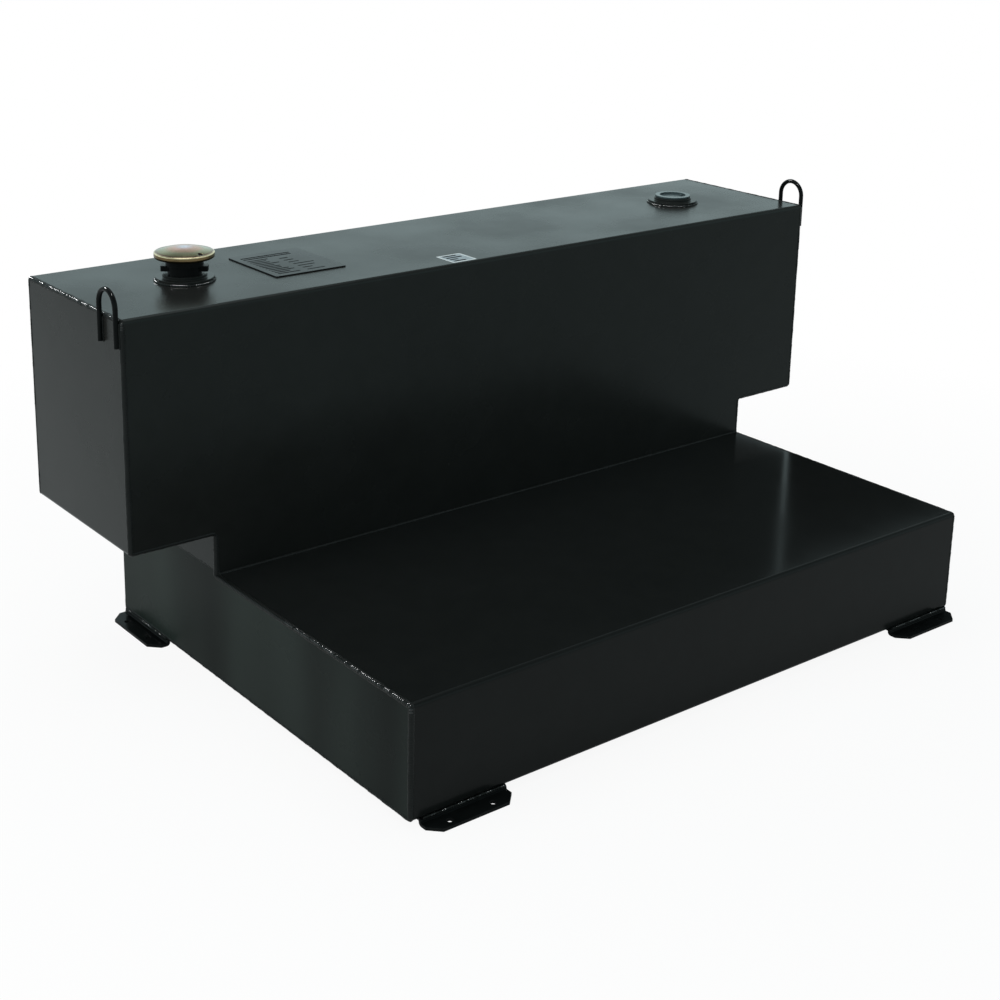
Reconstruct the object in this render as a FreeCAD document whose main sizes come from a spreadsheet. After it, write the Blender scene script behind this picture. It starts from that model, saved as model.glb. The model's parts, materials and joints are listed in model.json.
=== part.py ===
import FreeCAD, Part
import math
import os
import Sketcher

# Stepped truck-bed fuel tank. Millimetres, +Z up, the front faces -Y.
# The origin is the bottom centre of the whole tank's box, on the floor under the feet.

SIZES = {
    # shell, outside sizes; heights count from the underside of the lower tank
    "upper_width": 1460,
    "upper_depth": 322,
    "shell_height": 614,
    "overhang_height": 244,
    "deck_height": 178,
    "overhang_width": 146,
    "deck_reach": 517,
    "sheet_gauge": 2.7,
    "bend_radius": 7,
    # weld metal at the outside corners
    "weld_leg": 4,
    "weld_face": 2.4,
    "side_seam_rise": 8,
    # surge plates
    "baffle_spacing": 390,
    "baffle_flange": 20,
    "upper_passage": 110,
    "lower_passage": 90,
    "baffle_corner": 28,
    "cross_baffle_setback": 250,
    # feet
    "foot_length": 152,
    "foot_reach": 28,
    "foot_plate": 4.8,
    "foot_lift": 12,
    "foot_lap": 40,
    "foot_corner": 18,
    "foot_hole": 9.5,
    "foot_hole_pitch": 76,
    "foot_hole_out": 15,
    "front_foot_inset_left": 19,
    "front_foot_inset_right": 0,
    # lifting eyes
    "eye_rod": 8,
    "eye_spread": 52,
    "eye_setback": 34,
    "eye_rise": 45,
    "eye_hold": 43,
    # weld flanges of the filler and the pump port
    "fitting_inset": 194,
    "fitting_setback": 161,
    "top_hole": 62,
    "flange_diameter": 92,
    "flange_plate": 6,
    "flange_weld": 5,
    "hub_diameter": 71,
    "hub_height": 11,
    "thread_diameter": 60.3,
    "thread_gap": 0.1,
    "thread_depth": 8,
    # eared filler neck
    "neck_diameter": 54,
    "neck_bore": 48,
    "neck_height": 38,
    "collar_diameter": 60,
    "lip_bore": 40,
    "lip_plate": 2,
    "ear_span": 75,
    "ear_width": 20,
    "ear_low": 15,
    "ear_high": 24,
    "ear_turn": -35,
    "ear_corner": 4,
    "notch_width": 15,
    "notch_wall": 1.5,
    # filler cap
    "seal_gap": 0.2,
    "seal_margin": 1.2,
    "gasket_inner": 49,
    "gasket_plate": 2,
    "cap_sheet": 1,
    "cap_diameter": 96,
    "cap_rim": 5,
    "cap_drop": 1.6,
    "cap_skirt": 1,
    "cap_dome": 6,
    "cap_flat": 22,
    "cap_curl": 5,
    "plate_diameter": 82,
    "pan_diameter": 66,
    "cup_diameter": 38,
    "cup_depth": 12,
    "tab_width": 12,
    "tab_plate": 1.5,
    "tab_drop": 1.2,
    "tab_gap": 0.6,
    "vent_slot_radius": 32,
    "vent_slot_length": 6,
    "vent_slot_width": 5,
    "vent_slot_turn": 54,
    "vent_hole": 3,
    "vent_hole_radius": 6,
    "valve_stem": 3.2,
    "valve_disc": 18,
    # port plug
    "plug_diameter": 67,
    "plug_flange": 3,
    "plug_recess": 50,
    "plug_recess_depth": 4,
    "plug_lug": 6,
    "plug_wall": 3,
    "plug_tip": 1,
    "port_gasket_plate": 1,
    # plate on the top sheet
    "data_plate_width": 134,
    "data_plate_depth": 152,
    "data_plate_gauge": 2,
    "data_plate_clearance": 73,
    "data_plate_setback": 164,
    "data_plate_corner": 3,
}


def cell(name):
    return "Sizes." + name


# Planes of the shell, as formulas of the sheet's cells
UPPER_SIDE = "(Sizes.upper_width / 2)"
LOWER_SIDE = f"({UPPER_SIDE} - Sizes.overhang_width)"
BACK = "((Sizes.upper_depth + Sizes.deck_reach + Sizes.foot_reach) / 2)"
UPPER_FRONT = f"({BACK} - Sizes.upper_depth)"
LOWER_FRONT = f"({UPPER_FRONT} - Sizes.deck_reach)"
BOTTOM = "Sizes.foot_lift"
TOP = "(Sizes.foot_lift + Sizes.shell_height)"
OVERHANG = "(Sizes.foot_lift + Sizes.overhang_height)"
DECK = "(Sizes.foot_lift + Sizes.deck_height)"
SIDE_SEAM = f"({DECK} + Sizes.side_seam_rise)"
GAUGE = cell("sheet_gauge")
LEG = cell("weld_leg")
BEND = cell("bend_radius")
INNER_BEND = f"({BEND} - {GAUGE})"
INSET_BEND = f"({BEND} - {LEG})"
CLEAR = f"(2 * {BEND})"

# Heights of the cap's pieces above the top sheet
GASKET_LOW = "(Sizes.neck_height + Sizes.seal_gap)"
GASKET_HIGH = f"({GASKET_LOW} + Sizes.gasket_plate)"
PAN_LOW = f"({GASKET_HIGH} + Sizes.seal_gap)"
CURL_LOW = "(Sizes.neck_height - Sizes.cap_drop)"
RIM_HIGH = f"({CURL_LOW} + 2 * Sizes.cap_rim + Sizes.cap_skirt)"


def value_of(doc, formula):
    return float(doc.Sizes.evalExpression(str(formula)))


def make_sheet(doc):
    sheet = doc.addObject("Spreadsheet::Sheet", "Sizes")
    for row, (name, size) in enumerate(SIZES.items(), start=1):
        sheet.set(f"A{row}", str(size))
        sheet.setAlias(f"A{row}", name)
    doc.recompute()


# Sketch tools

def origin_item(body, role):
    return next(item for item in body.Origin.OriginFeatures if item.Role == role)


def new_sketch(body, role, name, height="0"):
    sketch = body.newObject("Sketcher::SketchObject", name)
    sketch.AttachmentSupport = (origin_item(body, role), [""])
    sketch.MapMode = "FlatFace"
    sketch.setExpression("AttachmentOffset.Base.z", height)
    return sketch


def pin_vertex(sketch, line, vertex, formulas, spot):
    # dimension one vertex of a line from the sketch's origin
    for kind, formula, distance in zip(("DistanceX", "DistanceY"), formulas, (spot.x, spot.y)):
        number = sketch.addConstraint(Sketcher.Constraint(kind, -1, 1, line, vertex, distance))
        sketch.setExpression(f"Constraints[{number}]", formula)


def step(start, end):
    return [(b > a + 1e-6) - (b < a - 1e-6) for a, b in zip(start, end)]


def round_corners(doc, corners):
    # split each rounded corner into two
    spots = [[value_of(doc, c[0]), value_of(doc, c[1])] for c in corners]
    points = []
    for index, corner in enumerate(corners):
        across, up = corner[0], corner[1]
        radius = corner[2] if len(corner) > 2 else None
        bulge = corner[3] if len(corner) > 3 else None
        if radius is None:
            points.append((across, up, bulge))
            continue
        into = step(spots[index - 1], spots[index])
        out = step(spots[index], spots[(index + 1) % len(spots)])
        turn = 1 if into[0] * out[1] - into[1] * out[0] > 0 else -1
        arc = (radius, turn)
        points.append((f"{across} - ({radius}) * {into[0]}", f"{up} - ({radius}) * {into[1]}", arc))
        points.append((f"{across} + ({radius}) * {out[0]}", f"{up} + ({radius}) * {out[1]}", None))
    return points


def arc_between(start, end, radius, turn):
    # the shorter arc from start to end, bending left for turn 1 and right for turn -1
    half = (end - start) * 0.5
    reach = math.sqrt(max(radius ** 2 - half.Length ** 2, 0.0))
    side = FreeCAD.Vector(-half.y, half.x, 0).normalize() * (reach * turn)
    centre = start + half + side
    first, last = (start, end) if turn > 0 else (end, start)
    angles = [math.atan2(p.y - centre.y, p.x - centre.x) for p in (first, last)]
    if angles[1] < angles[0]:
        angles[1] += 2 * math.pi
    return Part.ArcOfCircle(Part.Circle(centre, FreeCAD.Vector(0, 0, 1), radius), *angles)


def draw_outline(sketch, corners):
    # closed outline; a corner is (across, up), or (across, up, radius) rounded,
    # or (across, up, None, (radius, turn)) joined to the next corner by an arc
    doc = sketch.Document
    points = round_corners(doc, corners)
    spots = [FreeCAD.Vector(value_of(doc, p[0]), value_of(doc, p[1]), 0) for p in points]
    ends = []
    for index, point in enumerate(points):
        start, end = spots[index], spots[(index + 1) % len(points)]
        bulge = point[2]
        if bulge is None:
            line = sketch.addGeometry(Part.LineSegment(start, end), False)
            ends.append((line, 1, 2))
            continue
        radius = value_of(doc, bulge[0])
        line = sketch.addGeometry(arc_between(start, end, radius, bulge[1]), False)
        number = sketch.addConstraint(Sketcher.Constraint("Radius", line, radius))
        sketch.setExpression(f"Constraints[{number}]", bulge[0])
        ends.append((line, 1, 2) if bulge[1] > 0 else (line, 2, 1))
    for index, point in enumerate(points):
        line, first, _ = ends[index]
        before, _, last = ends[index - 1]
        sketch.addConstraint(Sketcher.Constraint("Coincident", before, last, line, first))
        pin_vertex(sketch, line, first, point[:2], spots[index])


def draw_circle(sketch, across, up, diameter):
    doc = sketch.Document
    centre = FreeCAD.Vector(value_of(doc, across), value_of(doc, up), 0)
    size = value_of(doc, diameter)
    ring = sketch.addGeometry(Part.Circle(centre, FreeCAD.Vector(0, 0, 1), size / 2), False)
    pin_vertex(sketch, ring, 3, (across, up), centre)
    number = sketch.addConstraint(Sketcher.Constraint("Diameter", ring, size))
    sketch.setExpression(f"Constraints[{number}]", diameter)


# Feature tools

def new_body(doc, label, x="0", y="0", z="0", turn="0"):
    body = doc.addObject("PartDesign::Body", label)
    body.Label = label
    body.Placement = FreeCAD.Placement(FreeCAD.Vector(), FreeCAD.Rotation(FreeCAD.Vector(0, 0, 1), 1))
    body.setExpression("Placement.Base.x", x)
    body.setExpression("Placement.Base.y", y)
    body.setExpression("Placement.Base.z", z)
    body.setExpression("Placement.Rotation.Angle", turn)
    return body


def add_pad(body, sketch, length, symmetric=False, reverse=False):
    pad = body.newObject("PartDesign::Pad", "Pad")
    pad.Profile = sketch
    pad.SideType = "Symmetric" if symmetric else "One side"
    pad.Reversed = reverse
    pad.setExpression("Length", length)
    body.Document.recompute()
    return pad


def add_turned(body, sketch, kind="PartDesign::Revolution", axis="V_Axis", angle=360):
    turned = body.newObject(kind, "Turned")
    turned.Profile = sketch
    turned.ReferenceAxis = (sketch, [axis])
    turned.Angle = angle
    body.Document.recompute()
    return turned


def cut_through(body, sketch, length=None, reverse=False):
    # cut both ways through the whole body, or one way to a depth, and make sure that metal went
    before = body.Shape.Volume
    pocket = body.newObject("PartDesign::Pocket", "Cut")
    pocket.Profile = sketch
    if length:
        pocket.SideType = "One side"
        pocket.Reversed = reverse
        pocket.setExpression("Length", length)
    else:
        pocket.SideType = "Symmetric"
        pocket.Type = "ThroughAll"
    body.Document.recompute()
    if body.Shape.Volume > before - 1e-3:
        raise RuntimeError(f"{body.Label}: {sketch.Name} cuts nothing")
    return pocket


def dress_edges(body, base, kind, size, chosen):
    # chosen picks edges by their shape; kind is Fillet or Chamfer
    names = [f"Edge{n}" for n, edge in enumerate(base.Shape.Edges, start=1) if chosen(edge)]
    if not names:
        raise RuntimeError(f"{body.Label}: no edge to dress")
    dressed = body.newObject(f"PartDesign::{kind}", kind)
    dressed.Base = (base, names)
    dressed.setExpression("Radius" if kind == "Fillet" else "Size", size)
    body.Document.recompute()
    return dressed


def runs_along(edge, axis):
    if edge.Curve.TypeId != "Part::GeomLine":
        return False
    return abs(abs(edge.Curve.Direction[axis]) - 1) < 1e-6


def lies_at(edge, axis, place):
    low, high = edge.BoundBox.getPoint(0)[axis], edge.BoundBox.getPoint(6)[axis]
    return abs(low - place) < 1e-4 and abs(high - place) < 1e-4


# Shell

def tee_notch(side, inset, margin):
    # region beside the neck and under the overhang, left free by the T-shaped walls
    neck = f"{side} * ({LOWER_SIDE} - {inset})"
    end = f"{side} * ({UPPER_SIDE} - {inset})"
    outside = f"{side} * ({UPPER_SIDE} + {margin})"
    floor = f"({OVERHANG} + {inset})"
    low = f"({BOTTOM} - {margin})"
    return [
        (neck, low),
        (neck, floor, f"({INNER_BEND} + {inset})"),
        (end, floor, f"({BEND} - {inset})"),
        (end, f"({floor} + {margin})"),
        (outside, f"({floor} + {margin})"),
        (outside, low),
    ]


def make_upper_wrap(doc):
    body = new_body(doc, "upper_wrap")
    front, back = UPPER_FRONT, BACK
    profile = new_sketch(body, "YZ_Plane", "WrapProfile")
    draw_outline(profile, [
        (front, DECK),
        (front, TOP, BEND),
        (back, TOP, BEND),
        (back, f"({BOTTOM} + {LEG})"),
        (f"({back} - {GAUGE})", f"({BOTTOM} + {LEG})"),
        (f"({back} - {GAUGE})", f"({TOP} - {GAUGE})", INNER_BEND),
        (f"({front} + {GAUGE})", f"({TOP} - {GAUGE})", INNER_BEND),
        (f"({front} + {GAUGE})", DECK),
    ])
    add_pad(body, profile, f"2 * ({UPPER_SIDE} - {LEG})", symmetric=True)
    for side, name in ((-1, "LeftNotch"), (1, "RightNotch")):
        notch = new_sketch(body, "XZ_Plane", name)
        draw_outline(notch, tee_notch(side, LEG, CLEAR))
        cut_through(body, notch)
    holes = new_sketch(body, "XY_Plane", "TopHoles")
    for side in (-1, 1):
        across = f"{side} * ({UPPER_SIDE} - Sizes.fitting_inset)"
        draw_circle(holes, across, f"{UPPER_FRONT} + Sizes.fitting_setback", cell("top_hole"))
    cut_through(body, holes)


def make_upper_end(doc, name, side):
    body = new_body(doc, name, y=f"({UPPER_FRONT} + {BACK}) / 2")
    profile = new_sketch(body, "XZ_Plane", "StripProfile")
    outer, neck = f"{side} * {UPPER_SIDE}", f"{side} * {LOWER_SIDE}"
    inner, neck_inner = f"{side} * ({UPPER_SIDE} - {GAUGE})", f"{side} * ({LOWER_SIDE} - {GAUGE})"
    draw_outline(profile, [
        (outer, f"({TOP} - {LEG})"),
        (outer, OVERHANG, BEND),
        (neck, OVERHANG, INNER_BEND),
        (neck, SIDE_SEAM),
        (neck_inner, SIDE_SEAM),
        (neck_inner, f"({OVERHANG} + {GAUGE})", BEND),
        (inner, f"({OVERHANG} + {GAUGE})", INNER_BEND),
        (inner, f"({TOP} - {LEG})"),
    ])
    pad = add_pad(body, profile, f"Sizes.upper_depth - 2 * {LEG}", symmetric=True)
    top = value_of(doc, f"{TOP} - {LEG}")
    half = value_of(doc, f"Sizes.upper_depth / 2 - {LEG}")
    dress_edges(body, pad, "Fillet", INSET_BEND, lambda edge: runs_along(edge, 0) and lies_at(edge, 2, top)
                and abs(abs(edge.CenterOfMass.y) - half) < 1e-4)


def make_upper_seam(doc, name, side):
    # the corner weld of one end: up the neck, round the overhang, up the end, over the top and down the back
    body = new_body(doc, name)
    profile = new_sketch(body, "YZ_Plane", "BoxProfile")
    draw_outline(profile, [
        (UPPER_FRONT, DECK),
        (UPPER_FRONT, TOP, BEND),
        (BACK, TOP, BEND),
        (BACK, DECK),
    ])
    add_pad(body, profile, UPPER_SIDE, reverse=side < 0)
    notch = new_sketch(body, "XZ_Plane", "Notch")
    draw_outline(notch, tee_notch(side, "0", CLEAR))
    box = cut_through(body, notch)
    front, back = value_of(doc, UPPER_FRONT), value_of(doc, BACK)
    rim = value_of(doc, UPPER_SIDE)
    low, top = value_of(doc, DECK), value_of(doc, TOP)

    def on_seam(edge):
        if abs(edge.CenterOfMass.x) < 1 or lies_at(edge, 2, low):
            return False
        if lies_at(edge, 0, side * rim):
            return True
        if lies_at(edge, 2, top):
            return False
        return lies_at(edge, 1, front) or lies_at(edge, 1, back)

    dress_edges(body, box, "Chamfer", cell("weld_face"), on_seam)
    core = new_sketch(body, "XZ_Plane", "InsetTee")
    neck, end = f"{side} * ({LOWER_SIDE} - {LEG})", f"{side} * ({UPPER_SIDE} - {LEG})"
    floor = f"({OVERHANG} + {LEG})"
    middle = f"{-side} * {CLEAR}"
    draw_outline(core, [
        (middle, f"({DECK} - {CLEAR})"),
        (neck, f"({DECK} - {CLEAR})"),
        (neck, floor, f"({INNER_BEND} + {LEG})"),
        (end, floor, INSET_BEND),
        (end, f"({TOP} + {CLEAR})"),
        (middle, f"({TOP} + {CLEAR})"),
    ])
    cut_through(body, core)
    inside = new_sketch(body, "YZ_Plane", "InsetBox")
    draw_outline(inside, [
        (f"({UPPER_FRONT} + {LEG})", f"({DECK} - {CLEAR})"),
        (f"({UPPER_FRONT} + {LEG})", f"({TOP} - {LEG})", INSET_BEND),
        (f"({BACK} - {LEG})", f"({TOP} - {LEG})", INSET_BEND),
        (f"({BACK} - {LEG})", f"({DECK} - {CLEAR})"),
    ])
    cut_through(body, inside)


def make_lower_shell(doc):
    body = new_body(doc, "lower_shell")
    profile = new_sketch(body, "YZ_Plane", "ShellProfile")
    rear_of_deck = f"({UPPER_FRONT} + {GAUGE})"
    draw_outline(profile, [
        (rear_of_deck, DECK),
        (LOWER_FRONT, DECK, BEND),
        (LOWER_FRONT, BOTTOM, BEND),
        (f"({BACK} - {LEG})", BOTTOM),
        (f"({BACK} - {LEG})", f"({BOTTOM} + {GAUGE})"),
        (f"({LOWER_FRONT} + {GAUGE})", f"({BOTTOM} + {GAUGE})", INNER_BEND),
        (f"({LOWER_FRONT} + {GAUGE})", f"({DECK} - {GAUGE})", INNER_BEND),
        (rear_of_deck, f"({DECK} - {GAUGE})"),
    ])
    add_pad(body, profile, f"2 * ({LOWER_SIDE} - {LEG})", symmetric=True)


def lower_end_outline(rise):
    return [
        (f"({LOWER_FRONT} + {LEG})", f"({BOTTOM} + {LEG})", INSET_BEND),
        (f"({BACK} - {LEG})", f"({BOTTOM} + {LEG})"),
        (f"({BACK} - {LEG})", f"({SIDE_SEAM} + {rise})"),
        (f"({UPPER_FRONT} + {LEG})", f"({SIDE_SEAM} + {rise})"),
        (f"({UPPER_FRONT} + {LEG})", f"({DECK} - {LEG})"),
        (f"({LOWER_FRONT} + {LEG})", f"({DECK} - {LEG})", INSET_BEND),
    ]


def make_lower_end(doc, name, side):
    body = new_body(doc, name, x=f"{side} * ({LOWER_SIDE} - {GAUGE} / 2)")
    outline = new_sketch(body, "YZ_Plane", "PlateOutline")
    draw_outline(outline, lower_end_outline("0"))
    add_pad(body, outline, GAUGE, symmetric=True)


def make_lower_seam(doc, name, side):
    # the corner weld of one lower end: along the deck, down the front, under the tank and up the back
    body = new_body(doc, name)
    profile = new_sketch(body, "YZ_Plane", "BoxProfile")
    draw_outline(profile, [
        (LOWER_FRONT, BOTTOM, BEND),
        (BACK, BOTTOM, LEG),
        (BACK, DECK),
        (LOWER_FRONT, DECK, BEND),
    ])
    box = add_pad(body, profile, LOWER_SIDE, reverse=side < 0)
    rim, back = side * value_of(doc, LOWER_SIDE), value_of(doc, BACK)
    dress_edges(body, box, "Chamfer", cell("weld_face"), lambda edge: lies_at(edge, 0, rim))
    core = new_sketch(body, "XZ_Plane", "Core")
    neck, middle = f"{side} * ({LOWER_SIDE} - {LEG})", f"{-side} * {CLEAR}"
    draw_outline(core, [
        (middle, f"({BOTTOM} - {CLEAR})"),
        (neck, f"({BOTTOM} - {CLEAR})"),
        (neck, f"({DECK} + {CLEAR})"),
        (middle, f"({DECK} + {CLEAR})"),
    ])
    cut_through(body, core)
    inside = new_sketch(body, "YZ_Plane", "InsetPlate")
    draw_outline(inside, lower_end_outline(CLEAR))
    cut_through(body, inside)


def make_rear_bottom_seam(doc):
    body = new_body(doc, "rear_bottom_seam")
    profile = new_sketch(body, "YZ_Plane", "BeadProfile")
    draw_outline(profile, [
        (f"({BACK} - {LEG})", BOTTOM, None, (LEG, 1)),
        (BACK, f"({BOTTOM} + {LEG})"),
        (f"({BACK} - {LEG})", f"({BOTTOM} + {LEG})"),
    ])
    add_pad(body, profile, f"2 * ({LOWER_SIDE} - {LEG})", symmetric=True)


def make_deck_seam(doc):
    # hollow fillet weld where the upper front stands on the deck
    body = new_body(doc, "deck_seam")
    profile = new_sketch(body, "YZ_Plane", "BeadProfile")
    draw_outline(profile, [
        (f"({UPPER_FRONT} - {LEG})", DECK),
        (UPPER_FRONT, DECK),
        (UPPER_FRONT, f"({DECK} + {LEG})", None, (f"(1.6 * {LEG})", -1)),
    ])
    add_pad(body, profile, f"2 * ({LOWER_SIDE} - {LEG})", symmetric=True)


# Surge plates

def make_upper_baffle(doc, name, side):
    # stands on the lower baffle; front and back edges are folded outwards and plug welded
    depth = f"(Sizes.upper_depth - 2 * {GAUGE})"
    body = new_body(doc, name, x=f"{side} * Sizes.baffle_spacing / 2", y=f"({UPPER_FRONT} + {BACK}) / 2",
                    z=f"{DECK} - {GAUGE}")
    fold, half = cell("baffle_flange"), f"({depth} / 2)"
    profile = new_sketch(body, "XY_Plane", "ChannelProfile")
    draw_outline(profile, [
        ("0", f"-{half}", BEND),
        (f"{side} * {fold}", f"-{half}"),
        (f"{side} * {fold}", f"(-{half} + {GAUGE})"),
        (f"{side} * {GAUGE}", f"(-{half} + {GAUGE})", INNER_BEND),
        (f"{side} * {GAUGE}", f"({half} - {GAUGE})", INNER_BEND),
        (f"{side} * {fold}", f"({half} - {GAUGE})"),
        (f"{side} * {fold}", half),
        ("0", half, BEND),
    ])
    height = f"({TOP} - {DECK})"
    add_pad(body, profile, height)
    passages = new_sketch(body, "YZ_Plane", "Passages")
    for share in (0.3, 0.72):
        draw_circle(passages, "0", f"{height} * {share}", cell("upper_passage"))
    cut_through(body, passages)
    corner = cell("baffle_corner")
    corners = new_sketch(body, "YZ_Plane", "CornerCuts")
    for front in (-1, 1):
        for level, rise in (("0", 1), (height, -1)):
            draw_outline(corners, [
                (f"{front} * ({half} + {BEND})", f"({level} - {rise} * {BEND})"),
                (f"{front} * ({half} - {corner})", f"({level} - {rise} * {BEND})"),
                (f"{front} * ({half} + {BEND})", f"({level} + {rise} * {corner})"),
            ])
    cut_through(body, corners)


def make_lower_baffle(doc, name, side):
    # runs front to back in the lower tank; top and bottom edges are folded outwards
    length = f"(Sizes.upper_depth + Sizes.deck_reach - 2 * {GAUGE})"
    height = f"(Sizes.deck_height - 2 * {GAUGE})"
    body = new_body(doc, name, x=f"{side} * Sizes.baffle_spacing / 2", y=f"({LOWER_FRONT} + {BACK}) / 2",
                    z=f"{BOTTOM} + {GAUGE}")
    fold = cell("baffle_flange")
    profile = new_sketch(body, "XZ_Plane", "ChannelProfile")
    draw_outline(profile, [
        ("0", "0", BEND),
        (f"{side} * {fold}", "0"),
        (f"{side} * {fold}", GAUGE),
        (f"{side} * {GAUGE}", GAUGE, INNER_BEND),
        (f"{side} * {GAUGE}", f"({height} - {GAUGE})", INNER_BEND),
        (f"{side} * {fold}", f"({height} - {GAUGE})"),
        (f"{side} * {fold}", height),
        ("0", height, BEND),
    ])
    add_pad(body, profile, length, symmetric=True)
    passages = new_sketch(body, "YZ_Plane", "Passages")
    for share in (-0.36, -0.02, 0.3):
        draw_circle(passages, f"{length} * {share}", f"{height} / 2", cell("lower_passage"))
    cut_through(body, passages)
    corner, half = cell("baffle_corner"), f"({length} / 2)"
    corners = new_sketch(body, "YZ_Plane", "CornerCuts")
    for front in (-1, 1):
        for level, rise in (("0", 1), (height, -1)):
            draw_outline(corners, [
                (f"{front} * ({half} + {BEND})", f"({level} - {rise} * {BEND})"),
                (f"{front} * ({half} - {corner})", f"({level} - {rise} * {BEND})"),
                (f"{front} * ({half} + {BEND})", f"({level} + {rise} * {corner})"),
            ])
    cut_through(body, corners)


def make_cross_baffle(doc, name, low_x, high_x):
    # a plate across one bay under the deck, with cut corners that clear the folds
    height = f"(Sizes.deck_height - 2 * {GAUGE})"
    body = new_body(doc, name, y=f"{UPPER_FRONT} - Sizes.cross_baffle_setback", z=f"{BOTTOM} + {GAUGE}")
    corner = cell("baffle_corner")
    outline = new_sketch(body, "XZ_Plane", "PlateOutline")
    draw_outline(outline, [
        (f"({low_x} + {corner})", "0"),
        (f"({high_x} - {corner})", "0"),
        (high_x, corner),
        (high_x, f"({height} - {corner})"),
        (f"({high_x} - {corner})", height),
        (f"({low_x} + {corner})", height),
        (low_x, f"({height} - {corner})"),
        (low_x, corner),
    ])
    add_pad(body, outline, GAUGE, symmetric=True)
    passages = new_sketch(body, "XZ_Plane", "Passage")
    draw_circle(passages, f"({low_x} + {high_x}) / 2", f"{height} / 2", cell("lower_passage"))
    cut_through(body, passages)


# Feet and lifting eyes

def make_foot(doc, name, x, y, turn):
    # joggled tab: one leg is welded under the tank, the other stands out and is bolted down; -Y is outwards
    body = new_body(doc, name, x=x, y=y, turn=turn)
    plate, lift, reach = cell("foot_plate"), cell("foot_lift"), cell("foot_reach")
    outside, inside, offset = f"({lift} / 2)", f"({lift} / 2 - {plate})", f"({lift} - {plate})"
    profile = new_sketch(body, "YZ_Plane", "JoggleProfile")
    draw_outline(profile, [
        (f"-{reach}", "0"),
        ("0", "0", None, (outside, 1)),
        (outside, outside, None, (inside, -1)),
        (offset, offset),
        (cell("foot_lap"), offset),
        (cell("foot_lap"), lift),
        (offset, lift, None, (outside, 1)),
        (inside, outside, None, (inside, -1)),
        ("0", plate),
        (f"-{reach}", plate),
    ])
    pad = add_pad(body, profile, cell("foot_length"), symmetric=True)
    tip = -value_of(doc, reach)
    dress_edges(body, pad, "Chamfer", cell("foot_corner"), lambda edge: runs_along(edge, 2) and lies_at(edge, 1, tip))
    holes = new_sketch(body, "XY_Plane", "BoltHoles")
    for side in (-1, 1):
        draw_circle(holes, f"{side} * Sizes.foot_hole_pitch / 2", "-Sizes.foot_hole_out", cell("foot_hole"))
    cut_through(body, holes)


def make_feet(doc):
    half = "Sizes.foot_length / 2"
    left = f"-{LOWER_SIDE} + Sizes.front_foot_inset_left + {half}"
    right = f"{LOWER_SIDE} - Sizes.front_foot_inset_right - {half}"
    make_foot(doc, "foot_front_left", left, LOWER_FRONT, "0")
    make_foot(doc, "foot_front_right", right, LOWER_FRONT, "0")
    make_foot(doc, "foot_back_left", f"-{LOWER_SIDE}", f"{BACK} - {half}", "-90")
    make_foot(doc, "foot_back_right", LOWER_SIDE, f"{BACK} - {half}", "90")


def make_lifting_eye(doc, name, side):
    body = new_body(doc, name, x=f"{side} * ({UPPER_SIDE} + Sizes.eye_rod / 2)",
                    y=f"{UPPER_FRONT} + Sizes.eye_setback", z=f"{TOP} - Sizes.eye_hold")
    half = "(Sizes.eye_spread / 2)"
    straight = f"(Sizes.eye_hold + Sizes.eye_rise - Sizes.eye_rod / 2 - {half})"
    section = new_sketch(body, "XY_Plane", "RodSection", straight)
    draw_circle(section, "0", half, cell("eye_rod"))
    add_turned(body, section, axis="H_Axis", angle=180)
    legs = new_sketch(body, "XY_Plane", "LegSections", straight)
    for front in (-1, 1):
        draw_circle(legs, "0", f"{front} * {half}", cell("eye_rod"))
    add_pad(body, legs, straight, reverse=True)


# Fittings on the top sheet; heights in these bodies count from the top sheet

def fitting_body(doc, name, side, turn="0"):
    across = f"{side} * ({UPPER_SIDE} - Sizes.fitting_inset)"
    return new_body(doc, name, x=across, y=f"{UPPER_FRONT} + Sizes.fitting_setback", z=TOP, turn=turn)


def add_profile(body, name, corners, kind="PartDesign::Revolution"):
    # profile across the fitting's own axis, turned once round it
    profile = new_sketch(body, "XZ_Plane", name)
    draw_outline(profile, corners)
    return add_turned(body, profile, kind)


def make_flange(doc, name, side):
    body = fitting_body(doc, name, side)
    bore = "(Sizes.thread_diameter / 2 + Sizes.thread_gap)"
    rim, hub = "(Sizes.flange_diameter / 2)", "(Sizes.hub_diameter / 2)"
    plate, high = cell("flange_plate"), cell("hub_height")
    add_profile(body, "FlangeProfile", [
        (bore, "0"),
        (rim, "0"),
        (rim, plate),
        (hub, plate),
        (hub, high),
        (bore, high),
    ])


def make_flange_weld(doc, name, side):
    body = fitting_body(doc, name, side)
    rim, leg = "(Sizes.flange_diameter / 2)", cell("flange_weld")
    add_profile(body, "BeadProfile", [
        (rim, "0"),
        (f"({rim} + {leg})", "0"),
        (rim, leg),
    ])


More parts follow.
